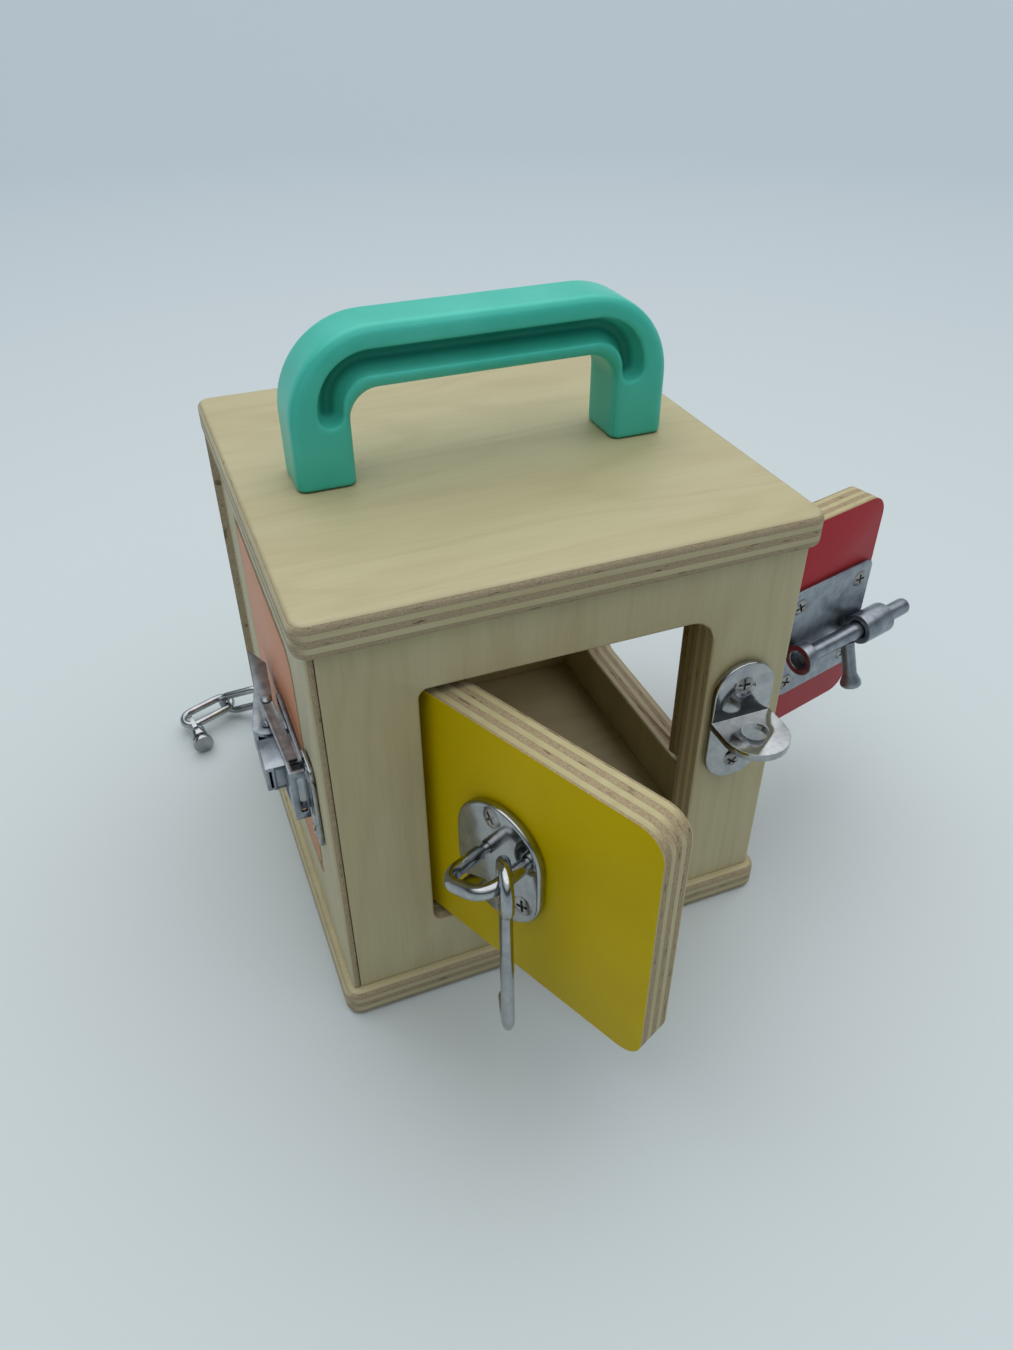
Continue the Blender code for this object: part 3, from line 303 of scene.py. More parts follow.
metal = {
    "nickel": {"tint": rgb(176, 178, 178), "dark": rgb(148, 152, 156), "roughness": 0.09, "scratch": 0.10},
    "zinc": {"tint": rgb(158, 164, 170), "dark": rgb(124, 131, 140), "roughness": 0.27, "scratch": 0.16},
    "screw": {"tint": rgb(168, 166, 162), "dark": rgb(120, 118, 116), "roughness": 0.24, "scratch": 0.14},
}
metalGrain = {"cloudScale": 220.0, "wipeScale": 2600.0, "pitScale": 2400.0, "relief": 0.012 * mm}


def metalFinish(name, kind):
    values = metal[kind]
    look = Graph(bpy.data.materials.new(name))
    source = look.coords["Object"]
    cloud = look.noise(source, metalGrain["cloudScale"], 4.0, 0.6)
    wiped = look.mapped(source, rotation=(0.4, 0.9, 0.3), scale=(1, 0.08, 1))
    wipe = look.noise(wiped, metalGrain["wipeScale"], 3.0, 0.6)
    pits = look.noise(source, metalGrain["pitScale"], 2.0, 0.5)
    colour = look.ramp(cloud, [(0.3, values["dark"]), (0.62, values["tint"])])
    rough = look.math("MULTIPLY_ADD", wipe, values["scratch"], values["roughness"] - values["scratch"] / 2)
    rough = look.math("MULTIPLY_ADD", cloud, values["scratch"] * 0.8, rough, clamp=True)
    relief = look.math("MULTIPLY_ADD", wipe, 0.5, look.math("MULTIPLY", pits, 0.5))
    return look.finish(colour, rough, 1.0, look.bump(relief, metalGrain["relief"], 0.6))


handleLook = {
    "colour": rgb(84, 200, 182),
    "shade": rgb(68, 190, 170),
    # dark teal painted on the groove floors as shade
    "groove": rgb(8, 108, 90),
    "tint": rgb(150, 235, 220),
    "cloudScale": 40.0,
    "peelScale": 1100.0,
    "peelShare": 0.16,
    "roughness": 0.34,
    "relief": 0.05 * mm,
    "grooveSide": 10.3 * mm,
    "grooveShare": 0.75,
}


def handleFinish():
    look = Graph(bpy.data.materials.new("tealHandle"))
    source = look.coords["Object"]
    cloud = look.noise(source, handleLook["cloudScale"], 3.0)
    peel = look.noise(source, handleLook["peelScale"], 3.0, 0.55)
    colour = look.ramp(cloud, [(0.35, handleLook["shade"]), (0.65, handleLook["colour"])])
    # painted shade on the floor of the two grooves, sunk below the flat sides
    side = look.math("DIVIDE", look.math("ABSOLUTE", look.split(source)[1]), handleLook["grooveSide"])
    sunk = look.grey(side, [(0.78, 1.0), (0.93, 0.0)])
    facing = look.math("ABSOLUTE", look.split(look.coords["Normal"])[1])
    flat = look.grey(facing, [(0.45, 0.0), (0.8, 1.0)])
    # how much painted shade darkens the groove floors
    shaded = look.math("MULTIPLY", look.math("MULTIPLY", sunk, flat), handleLook["grooveShare"])
    colour = look.mix(shaded, colour, handleLook["groove"])
    share = handleLook["peelShare"]
    rough = look.math("MULTIPLY_ADD", peel, share, handleLook["roughness"] - share / 2)
    look.shader.inputs["Specular Tint"].default_value = handleLook["tint"]
    return look.finish(colour, rough, 0.0, look.bump(peel, handleLook["relief"], 0.7))


chrome = metalFinish("brightNickel", "nickel")
zinc = metalFinish("zincPlate", "zinc")
screwSteel = metalFinish("screwSteel", "screw")
teal = handleFinish()
lying = turn(90, "X")  # a board that lies flat
basePlace = at(z=box["baseThick"] / 2) @ lying
topPlace = at(z=(box["wallHigh"] + box["topHigh"]) / 2) @ lying
baseWood = plywoodFinish("basePlywood", basePlace, box["baseThick"], grain="X")
topWood = plywoodFinish("topPlywood", topPlace, box["topHigh"] - box["wallHigh"], grain="X")
wallWood = {s: plywoodFinish(s + "Plywood", wallFrame(s) @ at(y=middlePlane), box["plywood"]) for s in sides}
doorWood = {s: plywoodFinish(s + "DoorPaint", doorFrame(s), box["plywood"], paints[s]) for s in sides}
print("finishes ready")


# carried-over parts
def dress(piece, material):
    piece.data.materials.clear()
    piece.data.materials.append(material)


for name, node in nodes.items():
    if "screw" in name or "pin" in name:
        dress(node, screwSteel)
    elif name == "base_plate":
        dress(node, baseWood)
    elif name == "top_plate":
        dress(node, topWood)
    elif name.endswith("_wall"):
        dress(node, wallWood[name.split("_")[0]])
    elif name.endswith("_door"):
        dress(node, doorWood[name.split("_")[0]])
    elif name == "handle":
        dress(node, teal)
    elif name in ("eye_plate", "staple", "hook", "strike_plate", "latch_keeper") or name.startswith("chain"):
        dress(node, chrome)
    else:
        dress(node, zinc)
print("parts dressed")


# modelling steps
def newest(name):
    piece = bpy.context.object
    piece.name = name
    bpy.ops.object.transform_apply(location=True, rotation=True, scale=True)
    return piece


def alone(piece):
    bpy.ops.object.select_all(action="DESELECT")
    piece.select_set(True)
    bpy.context.view_layer.objects.active = piece


def slab(name, size, centre=(0, 0, 0)):
    bpy.ops.object.select_all(action="DESELECT")
    bpy.ops.mesh.primitive_cube_add(size=1, location=centre)
    bpy.ops.object.mode_set(mode="EDIT")
    bpy.ops.transform.resize(value=size)
    bpy.ops.object.mode_set(mode="OBJECT")
    return newest(name)


def rod(name, radius, low, high, facets=40):
    # stands on Z
    bpy.ops.object.select_all(action="DESELECT")
    bpy.ops.mesh.primitive_cylinder_add(vertices=facets, radius=radius, depth=high - low,
                                        location=(0, 0, (low + high) / 2))
    return newest(name)


def choose(piece, kind, test):
    # selects faces by centre and normal, edges by both ends, corners by place; stays in edit mode
    bpy.ops.object.mode_set(mode="EDIT")
    bpy.ops.mesh.select_mode(type=kind)
    bpy.ops.mesh.select_all(action="DESELECT")
    bpy.ops.object.mode_set(mode="OBJECT")
    mesh = piece.data
    if kind == "FACE":
        for face in mesh.polygons:
            face.select = bool(test(face.center, face.normal))
    elif kind == "EDGE":
        for edge in mesh.edges:
            edge.select = bool(test(*(mesh.vertices[v].co for v in edge.vertices)))
    else:
        for corner in mesh.vertices:
            corner.select = bool(test(corner.co))
    bpy.ops.object.mode_set(mode="EDIT")


def upward(centre, normal):
    return normal.z > 0.9


def downward(centre, normal):
    return normal.z < -0.9


def extrude(x=0.0, y=0.0, z=0.0):
    bpy.ops.mesh.extrude_region_move(TRANSFORM_OT_translate={"value": (x, y, z)})


def stepped(steps):
    # grows the chosen end upwards, each step a rise in mm and a share of the width before it
    for rise, share in steps:
        extrude(z=rise * mm)
        bpy.ops.transform.resize(value=(share, share, 1))


def longOf(steps):
    return sum(rise for rise, share in steps) * mm


def done():
    bpy.ops.object.mode_set(mode="OBJECT")


def change(piece, kind, **settings):
    alone(piece)
    step = piece.modifiers.new(kind.title(), kind)
    for key, value in settings.items():
        setattr(step, key, value)
    bpy.ops.object.modifier_apply(modifier=step.name)


def carve(piece, tool, operation="DIFFERENCE"):
    change(piece, "BOOLEAN", object=tool, operation=operation, solver="EXACT")
    bpy.data.objects.remove(tool, do_unlink=True)


def placed(piece, place):
    piece.data.transform(place)
    return piece


def soften(piece, width, segments=3, degrees=35):
    change(piece, "BEVEL", width=width, segments=segments, limit_method="ANGLE",
           angle_limit=math.radians(degrees))


def settle(piece, material, slotName, *replaced, smooth=35):
    # finished piece: smooth shaded, dressed, riding on the body of the nodes it stands for
    alone(piece)
    bpy.ops.object.shade_smooth_by_angle(angle=math.radians(smooth))
    dress(piece, material)
    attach(piece, bodyOf[replaced[0]])
    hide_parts(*replaced)


def refine(node, name, width, segments=3, degrees=40):
    # merged copy of a carried-over part, its edges softened where a width is given
    alone(nodes[node])
    bpy.ops.object.duplicate()
    piece = bpy.context.object
    piece.name = name
    piece.parent = None
    for key in list(piece.keys()):
        del piece[key]
    bpy.ops.object.mode_set(mode="EDIT")
    bpy.ops.mesh.select_all(action="SELECT")
    bpy.ops.mesh.remove_doubles(threshold=0.002 * mm)
    bpy.ops.mesh.dissolve_limited(angle_limit=math.radians(0.3))
    bpy.ops.object.mode_set(mode="OBJECT")
    if width:
        soften(piece, width, segments, degrees)
    return piece


def obround(name, length, width, thick, ease, facets=48):
    # plate with round ends: long in Z, its back on Y = 0 and its face towards -Y
    piece = rod(name, width / 2, 0, thick, facets)
    choose(piece, "VERT", lambda co: co.y > near / 10)
    bpy.ops.transform.translate(value=(0, (length - width) / 2, 0))
    choose(piece, "VERT", lambda co: co.y < -near / 10)
    bpy.ops.transform.translate(value=(0, (width - length) / 2, 0))
    done()
    soften(piece, ease, 4, 50)
    return placed(piece, turn(90, "X"))


class Wire:
    # round bar drawn from a start along a heading, by straight runs and bends
    def __init__(self, name, radius, start, heading, facets=24, squash=(1, 1, 1)):
        self.place = Vector(start)
        self.heading = Vector(heading).normalized()
        tilt = self.heading.to_track_quat("Z", "Y").to_euler()
        bpy.ops.object.select_all(action="DESELECT")
        bpy.ops.mesh.primitive_circle_add(vertices=facets, radius=radius, location=start, rotation=tilt)
        self.piece = newest(name)
        bpy.ops.object.mode_set(mode="EDIT")
        bpy.ops.mesh.select_mode(type="VERT")
        bpy.ops.mesh.select_all(action="SELECT")
        bpy.ops.transform.resize(value=squash)

    def run(self, length):
        step = self.heading * length
        extrude(*step)
        self.place += step
        return self

    def bend(self, degrees, radius, towards, steps=12):
        towards = Vector(towards).normalized()
        centre = self.place + towards * radius
        axis = self.heading.cross(towards)
        angle = math.radians(degrees)
        bpy.ops.mesh.spin(steps=steps, angle=angle, center=centre, axis=-axis)
        spun = Matrix.Rotation(angle, 3, axis)
        self.place = centre + spun @ (self.place - centre)
        self.heading = spun @ self.heading
        return self

    def taper(self, length, scale):
        self.run(length)
        bpy.ops.transform.resize(value=(scale,) * 3)

    def close(self, joined=False):
        # a joined bar meets its own start, any other has its two ends filled
        bpy.ops.mesh.select_all(action="SELECT")
        if joined:
            bpy.ops.mesh.remove_doubles(threshold=near)
        else:
            bpy.ops.mesh.fill_holes(sides=0)
        bpy.ops.mesh.select_all(action="SELECT")
        bpy.ops.mesh.normals_make_consistent(inside=False)
        done()
        return self.piece


# screws
screwLook = {
    "head": 3.4 * mm,
    "shank": 1.4 * mm,
    "sink": 1.9 * mm,
    "long": 10.5 * mm,
    "slot": 0.85 * mm,
    "slotLong": 4.0 * mm,
    "slotDeep": 1.1 * mm,
    "slotHigh": 0.72 * mm,
    "edge": 0.08 * mm,
    "dome": ((0.32, 0.90), (0.26, 0.78), (0.14, 0.55)),
    "seatGap": 0.25 * mm,
    "seatRise": 0.9 * mm,
    "seatShare": 0.45,
    "turned": 37,  # degrees from one screw to the next
}


def screwMaster():
    piece = rod("screwMaster", screwLook["head"], -screwLook["sink"], 0.0, 36)
    choose(piece, "FACE", downward)
    bpy.ops.transform.resize(value=(screwLook["shank"] / screwLook["head"],) * 2 + (1,))
    extrude(z=screwLook["sink"] - screwLook["long"])
    choose(piece, "FACE", upward)
    stepped(screwLook["dome"])
    done()
    short, long = screwLook["slot"], screwLook["slotLong"]
    for wide, deep in ((short, long), (long, short)):
        carve(piece, slab("recess", (wide, deep, 2 * screwLook["slotDeep"]), (0, 0, screwLook["slotHigh"])))
    soften(piece, screwLook["edge"], 2, 50)
    return piece


def screwPlace(node):
    # from the part's own mesh: the two ends of its axis lie furthest apart, and the head is the wider
    points = [v.co.copy() for v in node.data.vertices]
    pairs = ((a, b) for a in points for b in points)
    first, last = max(pairs, key=lambda pair: (pair[0] - pair[1]).length)
    along = (last - first).normalized()
    spread = [0.0, 0.0]
    for p in points:
        nearLast = (p - first).length >= (p - last).length
        spread[nearLast] += (p - first).cross(along).length
    head, tip = (first, last) if spread[0] > spread[1] else (last, first)
    axis = (head - tip).normalized()
    facing = axis.to_track_quat("Z", "Y").to_matrix().to_4x4()
    return Matrix.Translation(tip + axis * screwLook["long"]) @ facing


def countersink(piece, screw):
    # seat for a screw head, a little wider than it
    radius = screwLook["head"] + screwLook["seatGap"]
    sink = rod("sink", radius, -screwLook["sink"], screwLook["seatRise"], 32)
    choose(sink, "FACE", downward)
    bpy.ops.transform.resize(value=(screwLook["seatShare"],) * 2 + (1,))
    done()
    carve(piece, placed(sink, screwPlace(nodes[screw])))


master = screwMaster()
screwSlots = {"eye": "bright_plating", "strike": "bright_plating", "chain": "bright_plating"}
for index, name in enumerate(sorted(n for n in nodes if "screw" in n and not n.startswith("handle"))):
    copy = bpy.data.objects.new(name.replace("_", "") + "Cross", master.data.copy())
    bpy.context.scene.collection.objects.link(copy)
    copy.data.transform(screwPlace(nodes[name]) @ turn(screwLook["turned"] * index, "Z"))
    settle(copy, screwSteel, screwSlots.get(name.split("_")[0], "zinc_plating"), name)
bpy.data.objects.remove(master, do_unlink=True)
print("screws ready")


# box plates, walls and doors
plates = {"overhang": 3.0 * mm, "corner": 5.0 * mm, "round": 2.3 * mm, "screwAlong": 51.15 * mm,
          "headBore": 4.5 * mm, "headDeep": 2.0 * mm, "shankBore": 2.4 * mm}


def outerPlate(name, node, low, high, material):
    wide = box["span"] + 2 * plates["overhang"]
    piece = slab(name, (wide, wide, high - low), (0, 0, (low + high) / 2))
    choose(piece, "EDGE", lambda a, b: abs(a.z - b.z) > mm)
    bpy.ops.mesh.bevel(offset=plates["corner"], segments=8)
    done()
    soften(piece, plates["round"], 6, 50)
    if node == "top_plate":
        # countersunk bores of the handle's screws
        bores = ((plates["headBore"], low + plates["headDeep"]), (plates["shankBore"], high + over))
        for side in (-1, 1):
            for radius, end in bores:
                bore = rod("bore", radius, low - over, end, 32)
                carve(piece, placed(bore, at(x=side * plates["screwAlong"])))
    settle(piece, material, "plywood", node, smooth=50)


outerPlate("basePlate", "base_plate", 0.0, box["baseThick"], baseWood)
outerPlate("topPlate", "top_plate", box["wallHigh"], box["topHigh"], topWood)

opening = {"half": 46.0 * mm, "slack": 0.1 * mm, "round": 0.9 * mm}
for side in sides:
    wall = refine(side + "_wall", side + "Wall", 0)
    placed(wall, wallFrame(side).inverted())
    reach = opening["half"] + opening["slack"]
    faces = (outerFace, outerFace + box["plywood"])
    choose(wall, "EDGE", lambda a, b: max(abs(a.x), abs(b.x)) < reach and abs(a.y - b.y) < near
           and min(abs(a.y - y) for y in faces) < near)
    bpy.ops.mesh.bevel(offset=opening["round"], segments=3)
    done()
    placed(wall, wallFrame(side))
    settle(wall, wallWood[side], "plywood", side + "_wall")

doorLook = {"wide": 87.7 * mm, "low": 35.5 * mm, "high": 123.5 * mm, "inset": 6.0 * mm, "corner": 8.0 * mm,
            "hingeCorner": 2.0 * mm, "round": 0.9 * mm, "pinBore": 1.8 * mm, "pinDeep": 9.2 * mm}
doorSlots = {"front": "yellow_paint", "right": "red_paint", "back": "green_paint", "left": "orange_paint"}
doorTall = doorLook["high"] - doorLook["low"]
for side in sides:
    centre = (doorLook["wide"] / 2 - doorLook["inset"], 0, (doorLook["low"] + doorLook["high"]) / 2)
    door = slab(side + "Door", (doorLook["wide"], box["plywood"], doorTall), centre)
    for free in (True, False):
        choose(door, "EDGE", lambda a, b: abs(a.y - b.y) > mm and (a.x > 0) == free)
        bpy.ops.mesh.bevel(offset=doorLook["corner" if free else "hingeCorner"], segments=8 if free else 4)
    # round along the hinge edge, so that the door turns inside the opening
    choose(door, "EDGE", lambda a, b: abs(a.z - b.z) > doorTall / 2 and a.x < 0)
    bpy.ops.mesh.bevel(offset=doorLook["hingeCorner"], segments=4)
    done()
    soften(door, doorLook["round"], 3, 50)
    for z in (doorLook["low"], doorLook["high"]):
        carve(door, rod("bore", doorLook["pinBore"], z - doorLook["pinDeep"], z + doorLook["pinDeep"], 24))
    placed(door, doorFrame(side))
    settle(door, doorWood[side], doorSlots[side], side + "_door", smooth=50)
print("plywood ready")


# handle
handle = {
    "half": 60.25 * mm,
    "low": 156.8 * mm,
    "high": 203.0 * mm,
    "deep": 20.6 * mm,
    "limb": 18.2 * mm,
    "foot": 2.0 * mm,
    "arch": 27.0 * mm,
    "round": 3.2 * mm,
    "grooveHalf": 48.0 * mm,
    "grooveWide": 7.6 * mm,
    "grooveDeep": 7.0 * mm,
    "grooveOut": 0.8 * mm,
    "grooveDrop": 10.2 * mm,
    "grooveEnd": 24.0 * mm,
    "grooveArch": 12.8 * mm,
    "voxel": 0.55 * mm,
}


def grooveTool(face):
    # channel with round ends, sunk into one face
    centreOut = face * (handle["deep"] / 2 + handle["grooveOut"])
    radius = handle["grooveWide"] / 2
    deeper = (handle["grooveDeep"] + handle["grooveOut"]) / radius
    start = (-handle["grooveHalf"], centreOut, handle["high"] - handle["grooveEnd"])
    leg = handle["grooveEnd"] - handle["grooveDrop"] - handle["grooveArch"]
    bar = Wire("groove", radius, start, (0, 0, 1), 32, (1, deeper, 1))
    bar.run(leg).bend(90, handle["grooveArch"], (1, 0, 0))
    bar.run(2 * (handle["grooveHalf"] - handle["grooveArch"]))
    bar.bend(90, handle["grooveArch"], (0, 0, -1)).run(leg)
    tools = [bar.close()]
    for side in (-1, 1):
        bpy.ops.object.select_all(action="DESELECT")
        bpy.ops.mesh.primitive_uv_sphere_add(segments=32, ring_count=16, radius=radius)
        ball = newest("grooveEnd")
        ball.data.transform(Matrix.Diagonal((1, deeper, 1, 1)))
        tools.append(placed(ball, at(side * handle["grooveHalf"], centreOut, start[2])))
    return tools


foot = slab("archHandle", (handle["limb"], handle["deep"], handle["foot"]),
            (-handle["half"] + handle["limb"] / 2, 0, handle["low"] + handle["foot"] / 2))
archHigh = handle["high"] - handle["arch"]
archHalf = handle["half"] - handle["arch"]
choose(foot, "FACE", upward)
extrude(z=archHigh - handle["low"] - handle["foot"])
bpy.ops.mesh.spin(steps=20, angle=math.radians(90), center=(-archHalf, 0, archHigh), axis=(0, -1, 0))
extrude(x=2 * archHalf)
bpy.ops.mesh.spin(steps=20, angle=math.radians(90), center=(archHalf, 0, archHigh), axis=(0, -1, 0))
extrude(z=handle["low"] - archHigh)
bpy.ops.mesh.select_all(action="SELECT")
bpy.ops.mesh.remove_doubles(threshold=near)
bpy.ops.mesh.normals_make_consistent(inside=False)
# the long edges of both faces, not those across a limb
deepEdge = handle["deep"] / 2 - near
choose(foot, "EDGE", lambda a, b: min(abs(a.y), abs(b.y)) > deepEdge and a.y * b.y > 0
       and abs((a - b).length - handle["limb"]) > 5 * near)
bpy.ops.mesh.bevel(offset=handle["round"], segments=5)
done()
for face in (-1, 1):
    for tool in grooveTool(face):
        carve(foot, tool)
change(foot, "REMESH", mode="VOXEL", voxel_size=handle["voxel"])
change(foot, "SMOOTH", factor=0.5, iterations=5)
settle(foot, teal, "teal_paint", "handle", smooth=60)
print("handle ready")


# hook, staple and strike plate
eyeSet = {
    "plateAlong": 29.9 * mm,
    "plateHigh": 80.0 * mm,
    "wide": 32.0 * mm,
    "long": 42.0 * mm,
    "thick": 3.0 * mm,
    "ease": 0.9 * mm,
}
stapleSet = {
    "along": 33.75 * mm,
    "high": 82.0 * mm,
    "tilt": 21.0,
    "radius": 2.2 * mm,
    "half": 8.7 * mm,
    "reach": 19.1 * mm,
    "bend": 6.0 * mm,
    "root": 4.7 * mm,
    "rise": 3.0 * mm,
    "neck": 1.6 * mm,
    "neckDeep": 1.2 * mm,
    "edge": 0.35 * mm,
}
hookSet = {
    "stand": 11.3 * mm,
    "ring": 6.7 * mm,
    "bar": 1.9 * mm,
    "eyeHigh": -2.2 * mm,
    "reach": 52.7 * mm,
    "bend": 4.5 * mm,
    "tip": 12.5 * mm,
    "ends": ((0.8, 0.86), (0.4, 0.6)),
    "root": 0.6 * mm,
    "edge": 0.5 * mm,
    "turn": 140.0,
    "lean": 8.0,
    "flat": 1.62,
    "thin": 1.04,
}

plate = obround("eyePlate", eyeSet["long"], eyeSet["wide"], eyeSet["thick"], eyeSet["ease"], 72)
placed(plate, doorFrame("front") @ at(eyeSet["plateAlong"], doorFace - box["seat"], eyeSet["plateHigh"]))
for number in (1, 2):
    countersink(plate, f"eye_plate_screw_{number}")
settle(plate, chrome, "bright_plating", "eye_plate")

leg = stapleSet["reach"] - stapleSet["root"] - stapleSet["bend"]
loop = Wire("stapleRing", stapleSet["radius"], (-stapleSet["half"], -stapleSet["root"], 0), (0, -1, 0), 28)
loop.run(leg).bend(90, stapleSet["bend"], (1, 0, 0)).run(2 * (stapleSet["half"] - stapleSet["bend"]))
loop.bend(90, stapleSet["bend"], (0, 1, 0)).run(leg)
staple = loop.close()
# shoulders where the bar steps down into the plate
choose(staple, "FACE", lambda centre, normal: normal.y > 0.9)
bpy.ops.mesh.inset(thickness=stapleSet["radius"] - stapleSet["neck"], depth=0)
extrude(y=stapleSet["root"] - stapleSet["neckDeep"])
done()
soften(staple, stapleSet["edge"], 3, 50)
placed(staple, doorFrame("front") @ at(stapleSet["along"], doorFace, stapleSet["high"])
       @ turn(-stapleSet["tilt"], "Y") @ at(z=stapleSet["rise"]))
settle(staple, chrome, "bright_plating", "staple")

tilt = math.radians(stapleSet["tilt"])
legAlong = stapleSet["along"] + stapleSet["half"] * math.cos(tilt) - stapleSet["rise"] * math.sin(tilt)
legHigh = stapleSet["high"] + stapleSet["half"] * math.sin(tilt) + stapleSet["rise"] * math.cos(tilt)
hookPlace = doorFrame("front") @ at(legAlong, doorFace - hookSet["stand"], legHigh)
hookPlace = hookPlace @ turn(hookSet["turn"], "Z") @ turn(hookSet["lean"], "Y")
bpy.ops.object.select_all(action="DESELECT")
bpy.ops.mesh.primitive_torus_add(major_segments=56, minor_segments=28, major_radius=hookSet["ring"],
                                 minor_radius=hookSet["bar"], rotation=(math.radians(90), 0, 0),
                                 location=(0, 0, hookSet["eyeHigh"]))
eye = newest("hookEye")
low = hookSet["eyeHigh"] - hookSet["reach"]
start = (0, 0, hookSet["eyeHigh"] - hookSet["ring"] + hookSet["root"])
shank = Wire("forgedHook", hookSet["bar"], start, (0, 0, -1), 28, (hookSet["flat"], hookSet["thin"], 1))
shank.run(start[2] - low - hookSet["bend"]).bend(90, hookSet["bend"], (1, 0, 0))
shank.run(hookSet["tip"] - hookSet["bend"] - longOf(hookSet["ends"]))
for rise, share in hookSet["ends"]:
    shank.taper(rise * mm, share)
hook = shank.close()
carve(hook, eye, "UNION")
soften(hook, hookSet["edge"], 3, 50)
placed(hook, hookPlace)
settle(hook, chrome, "bright_plating", "hook", smooth=50)

strikeEdge = 0.55 * mm
settle(refine("strike_plate", "strikePlate", strikeEdge, 4), chrome, "bright_plating", "strike_plate")
print("hook ready")


# barrel bolt
bolt = {
    "high": 71.5 * mm,
    "radius": 3.3 * mm,
    "start": 41.0 * mm,
    "end": 100.8 * mm,
    "dome": 2.4 * mm,
    "bore": 3.65 * mm,
    "wall": 2.4 * mm,
    "rearLong": 5.0 * mm,
    "frontStart": 71.0 * mm,
    "frontLong": 15.0 * mm,
    "sleeveEdge": 0.45 * mm,
    "sunk": 0.4 * mm,  # how far sleeves and knob reach into what carries them
    "knob": 65.0 * mm,
    "swing": 161.0,
    "stem": 2.6 * mm,
    "knobLong": 21.5 * mm,
    "knobEnd": ((2.2, 1.35), (1.2, 1.13), (1.3, 1.0), (0.8, 0.86)),
    "knobEdge": 0.25 * mm,
    "keeperEdge": 0.3 * mm,
}
plateSet = {"start": 37.0 * mm, "wide": 43.0 * mm, "tall": 47.0 * mm, "middle": 74.0 * mm, "thick": 1.6 * mm,
            "corner": 3.0 * mm, "edge": 0.4 * mm}

# distance of the bolt's axis from the door's middle plane
boltOut = -doorFace + box["seat"] + plateSet["thick"] + bolt["bore"] + bolt["wall"] - bolt["sunk"]


def sleeve(name, start, length):
    piece = rod(name, bolt["bore"] + bolt["wall"], 0, length, 48)
    carve(piece, rod("bore", bolt["bore"], -over, length + over, 48))
    soften(piece, bolt["sleeveEdge"], 4, 50)
    return placed(piece, at(start, -boltOut, bolt["high"]) @ turn(90, "Y"))


backing = slab("boltPlate", (plateSet["wide"], plateSet["thick"], plateSet["tall"]),
               (plateSet["start"] + plateSet["wide"] / 2, doorFace - box["seat"] - plateSet["thick"] / 2,
                plateSet["middle"]))
choose(backing, "EDGE", lambda a, b: abs(a.y - b.y) > mm)
bpy.ops.mesh.bevel(offset=plateSet["corner"], segments=6)
done()
soften(backing, plateSet["edge"], 3, 50)
carve(backing, sleeve("rearSleeve", plateSet["start"], bolt["rearLong"]), "UNION")
carve(backing, sleeve("frontSleeve", bolt["frontStart"], bolt["frontLong"]), "UNION")
placed(backing, doorFrame("right"))
for number in (1, 2, 3, 4):
    countersink(backing, f"bolt_plate_screw_{number}")
settle(backing, zinc, "zinc_plating", "bolt_plate")

shaftLong = bolt["end"] - bolt["start"]
shaft = rod("boltShaft", bolt["radius"], 0, shaftLong, 48)
choose(shaft, "EDGE", lambda a, b: min(a.z, b.z) > shaftLong - near)
bpy.ops.mesh.bevel(offset=bolt["dome"], segments=7)
done()
placed(shaft, doorFrame("right") @ at(bolt["start"], -boltOut, bolt["high"]) @ turn(90, "Y"))
settle(shaft, zinc, "zinc_plating", "bolt_rod", smooth=50)

stemEnd = bolt["knobLong"] - longOf(bolt["knobEnd"])
knob = rod("boltKnob", bolt["stem"], bolt["radius"] - bolt["sunk"], stemEnd, 40)
choose(knob, "FACE", upward)
stepped(bolt["knobEnd"])
done()
soften(knob, bolt["knobEdge"], 3, 30)
placed(knob, doorFrame("right") @ at(bolt["knob"], -boltOut, bolt["high"]) @ turn(bolt["swing"], "X"))
settle(knob, zinc, "zinc_plating", "bolt_knob", smooth=50)

settle(refine("bolt_keeper", "boltKeeper", bolt["keeperEdge"]), zinc, "zinc_plating", "bolt_keeper")
print("bolt ready")


# toggle latch
latch = {"high": 80.5 * mm, "endAlong": 80.3 * mm, "sheet": 1.2 * mm, "low": 1.4 * mm, "lip": 9.8 * mm,
         "wide": 8.8 * mm, "bead": 0.8 * mm, "edge": 0.25 * mm, "softenAbove": 30}

latchBase = refine("latch_base", "latchBase", latch["edge"], degrees=latch["softenAbove"])
# turned-down end of the housing, with a rolled lip on it
fold = slab("fold", (latch["sheet"], latch["lip"] - latch["low"], latch["wide"]),
            (latch["endAlong"], doorFace - (latch["low"] + latch["lip"]) / 2, latch["high"]))
bead = rod("bead", latch["bead"], latch["high"] - latch["wide"] / 2, latch["high"] + latch["wide"] / 2, 32)
placed(bead, at(latch["endAlong"], doorFace - latch["lip"]))
for tool in (fold, bead):
    carve(latchBase, placed(tool, doorFrame("left")), "UNION")
settle(latchBase, zinc, "zinc_plating", "latch_base")
for node, name, material, slotName in (("latch_lever", "latchLever", zinc, "zinc_plating"),
                                       ("latch_claw", "latchClaw", zinc, "zinc_plating"),
                                       ("latch_keeper", "latchKeeper", chrome, "bright_plating")):
    settle(refine(node, name, latch["edge"], degrees=latch["softenAbove"]), material, slotName, node)
print("latch ready")


# chain
chainSet = {"bar": 1.65 * mm, "bend": 4.95 * mm, "straight": 12.3 * mm, "links": 5, "edge": 0.3 * mm,
            "plateEdge": 0.2 * mm}


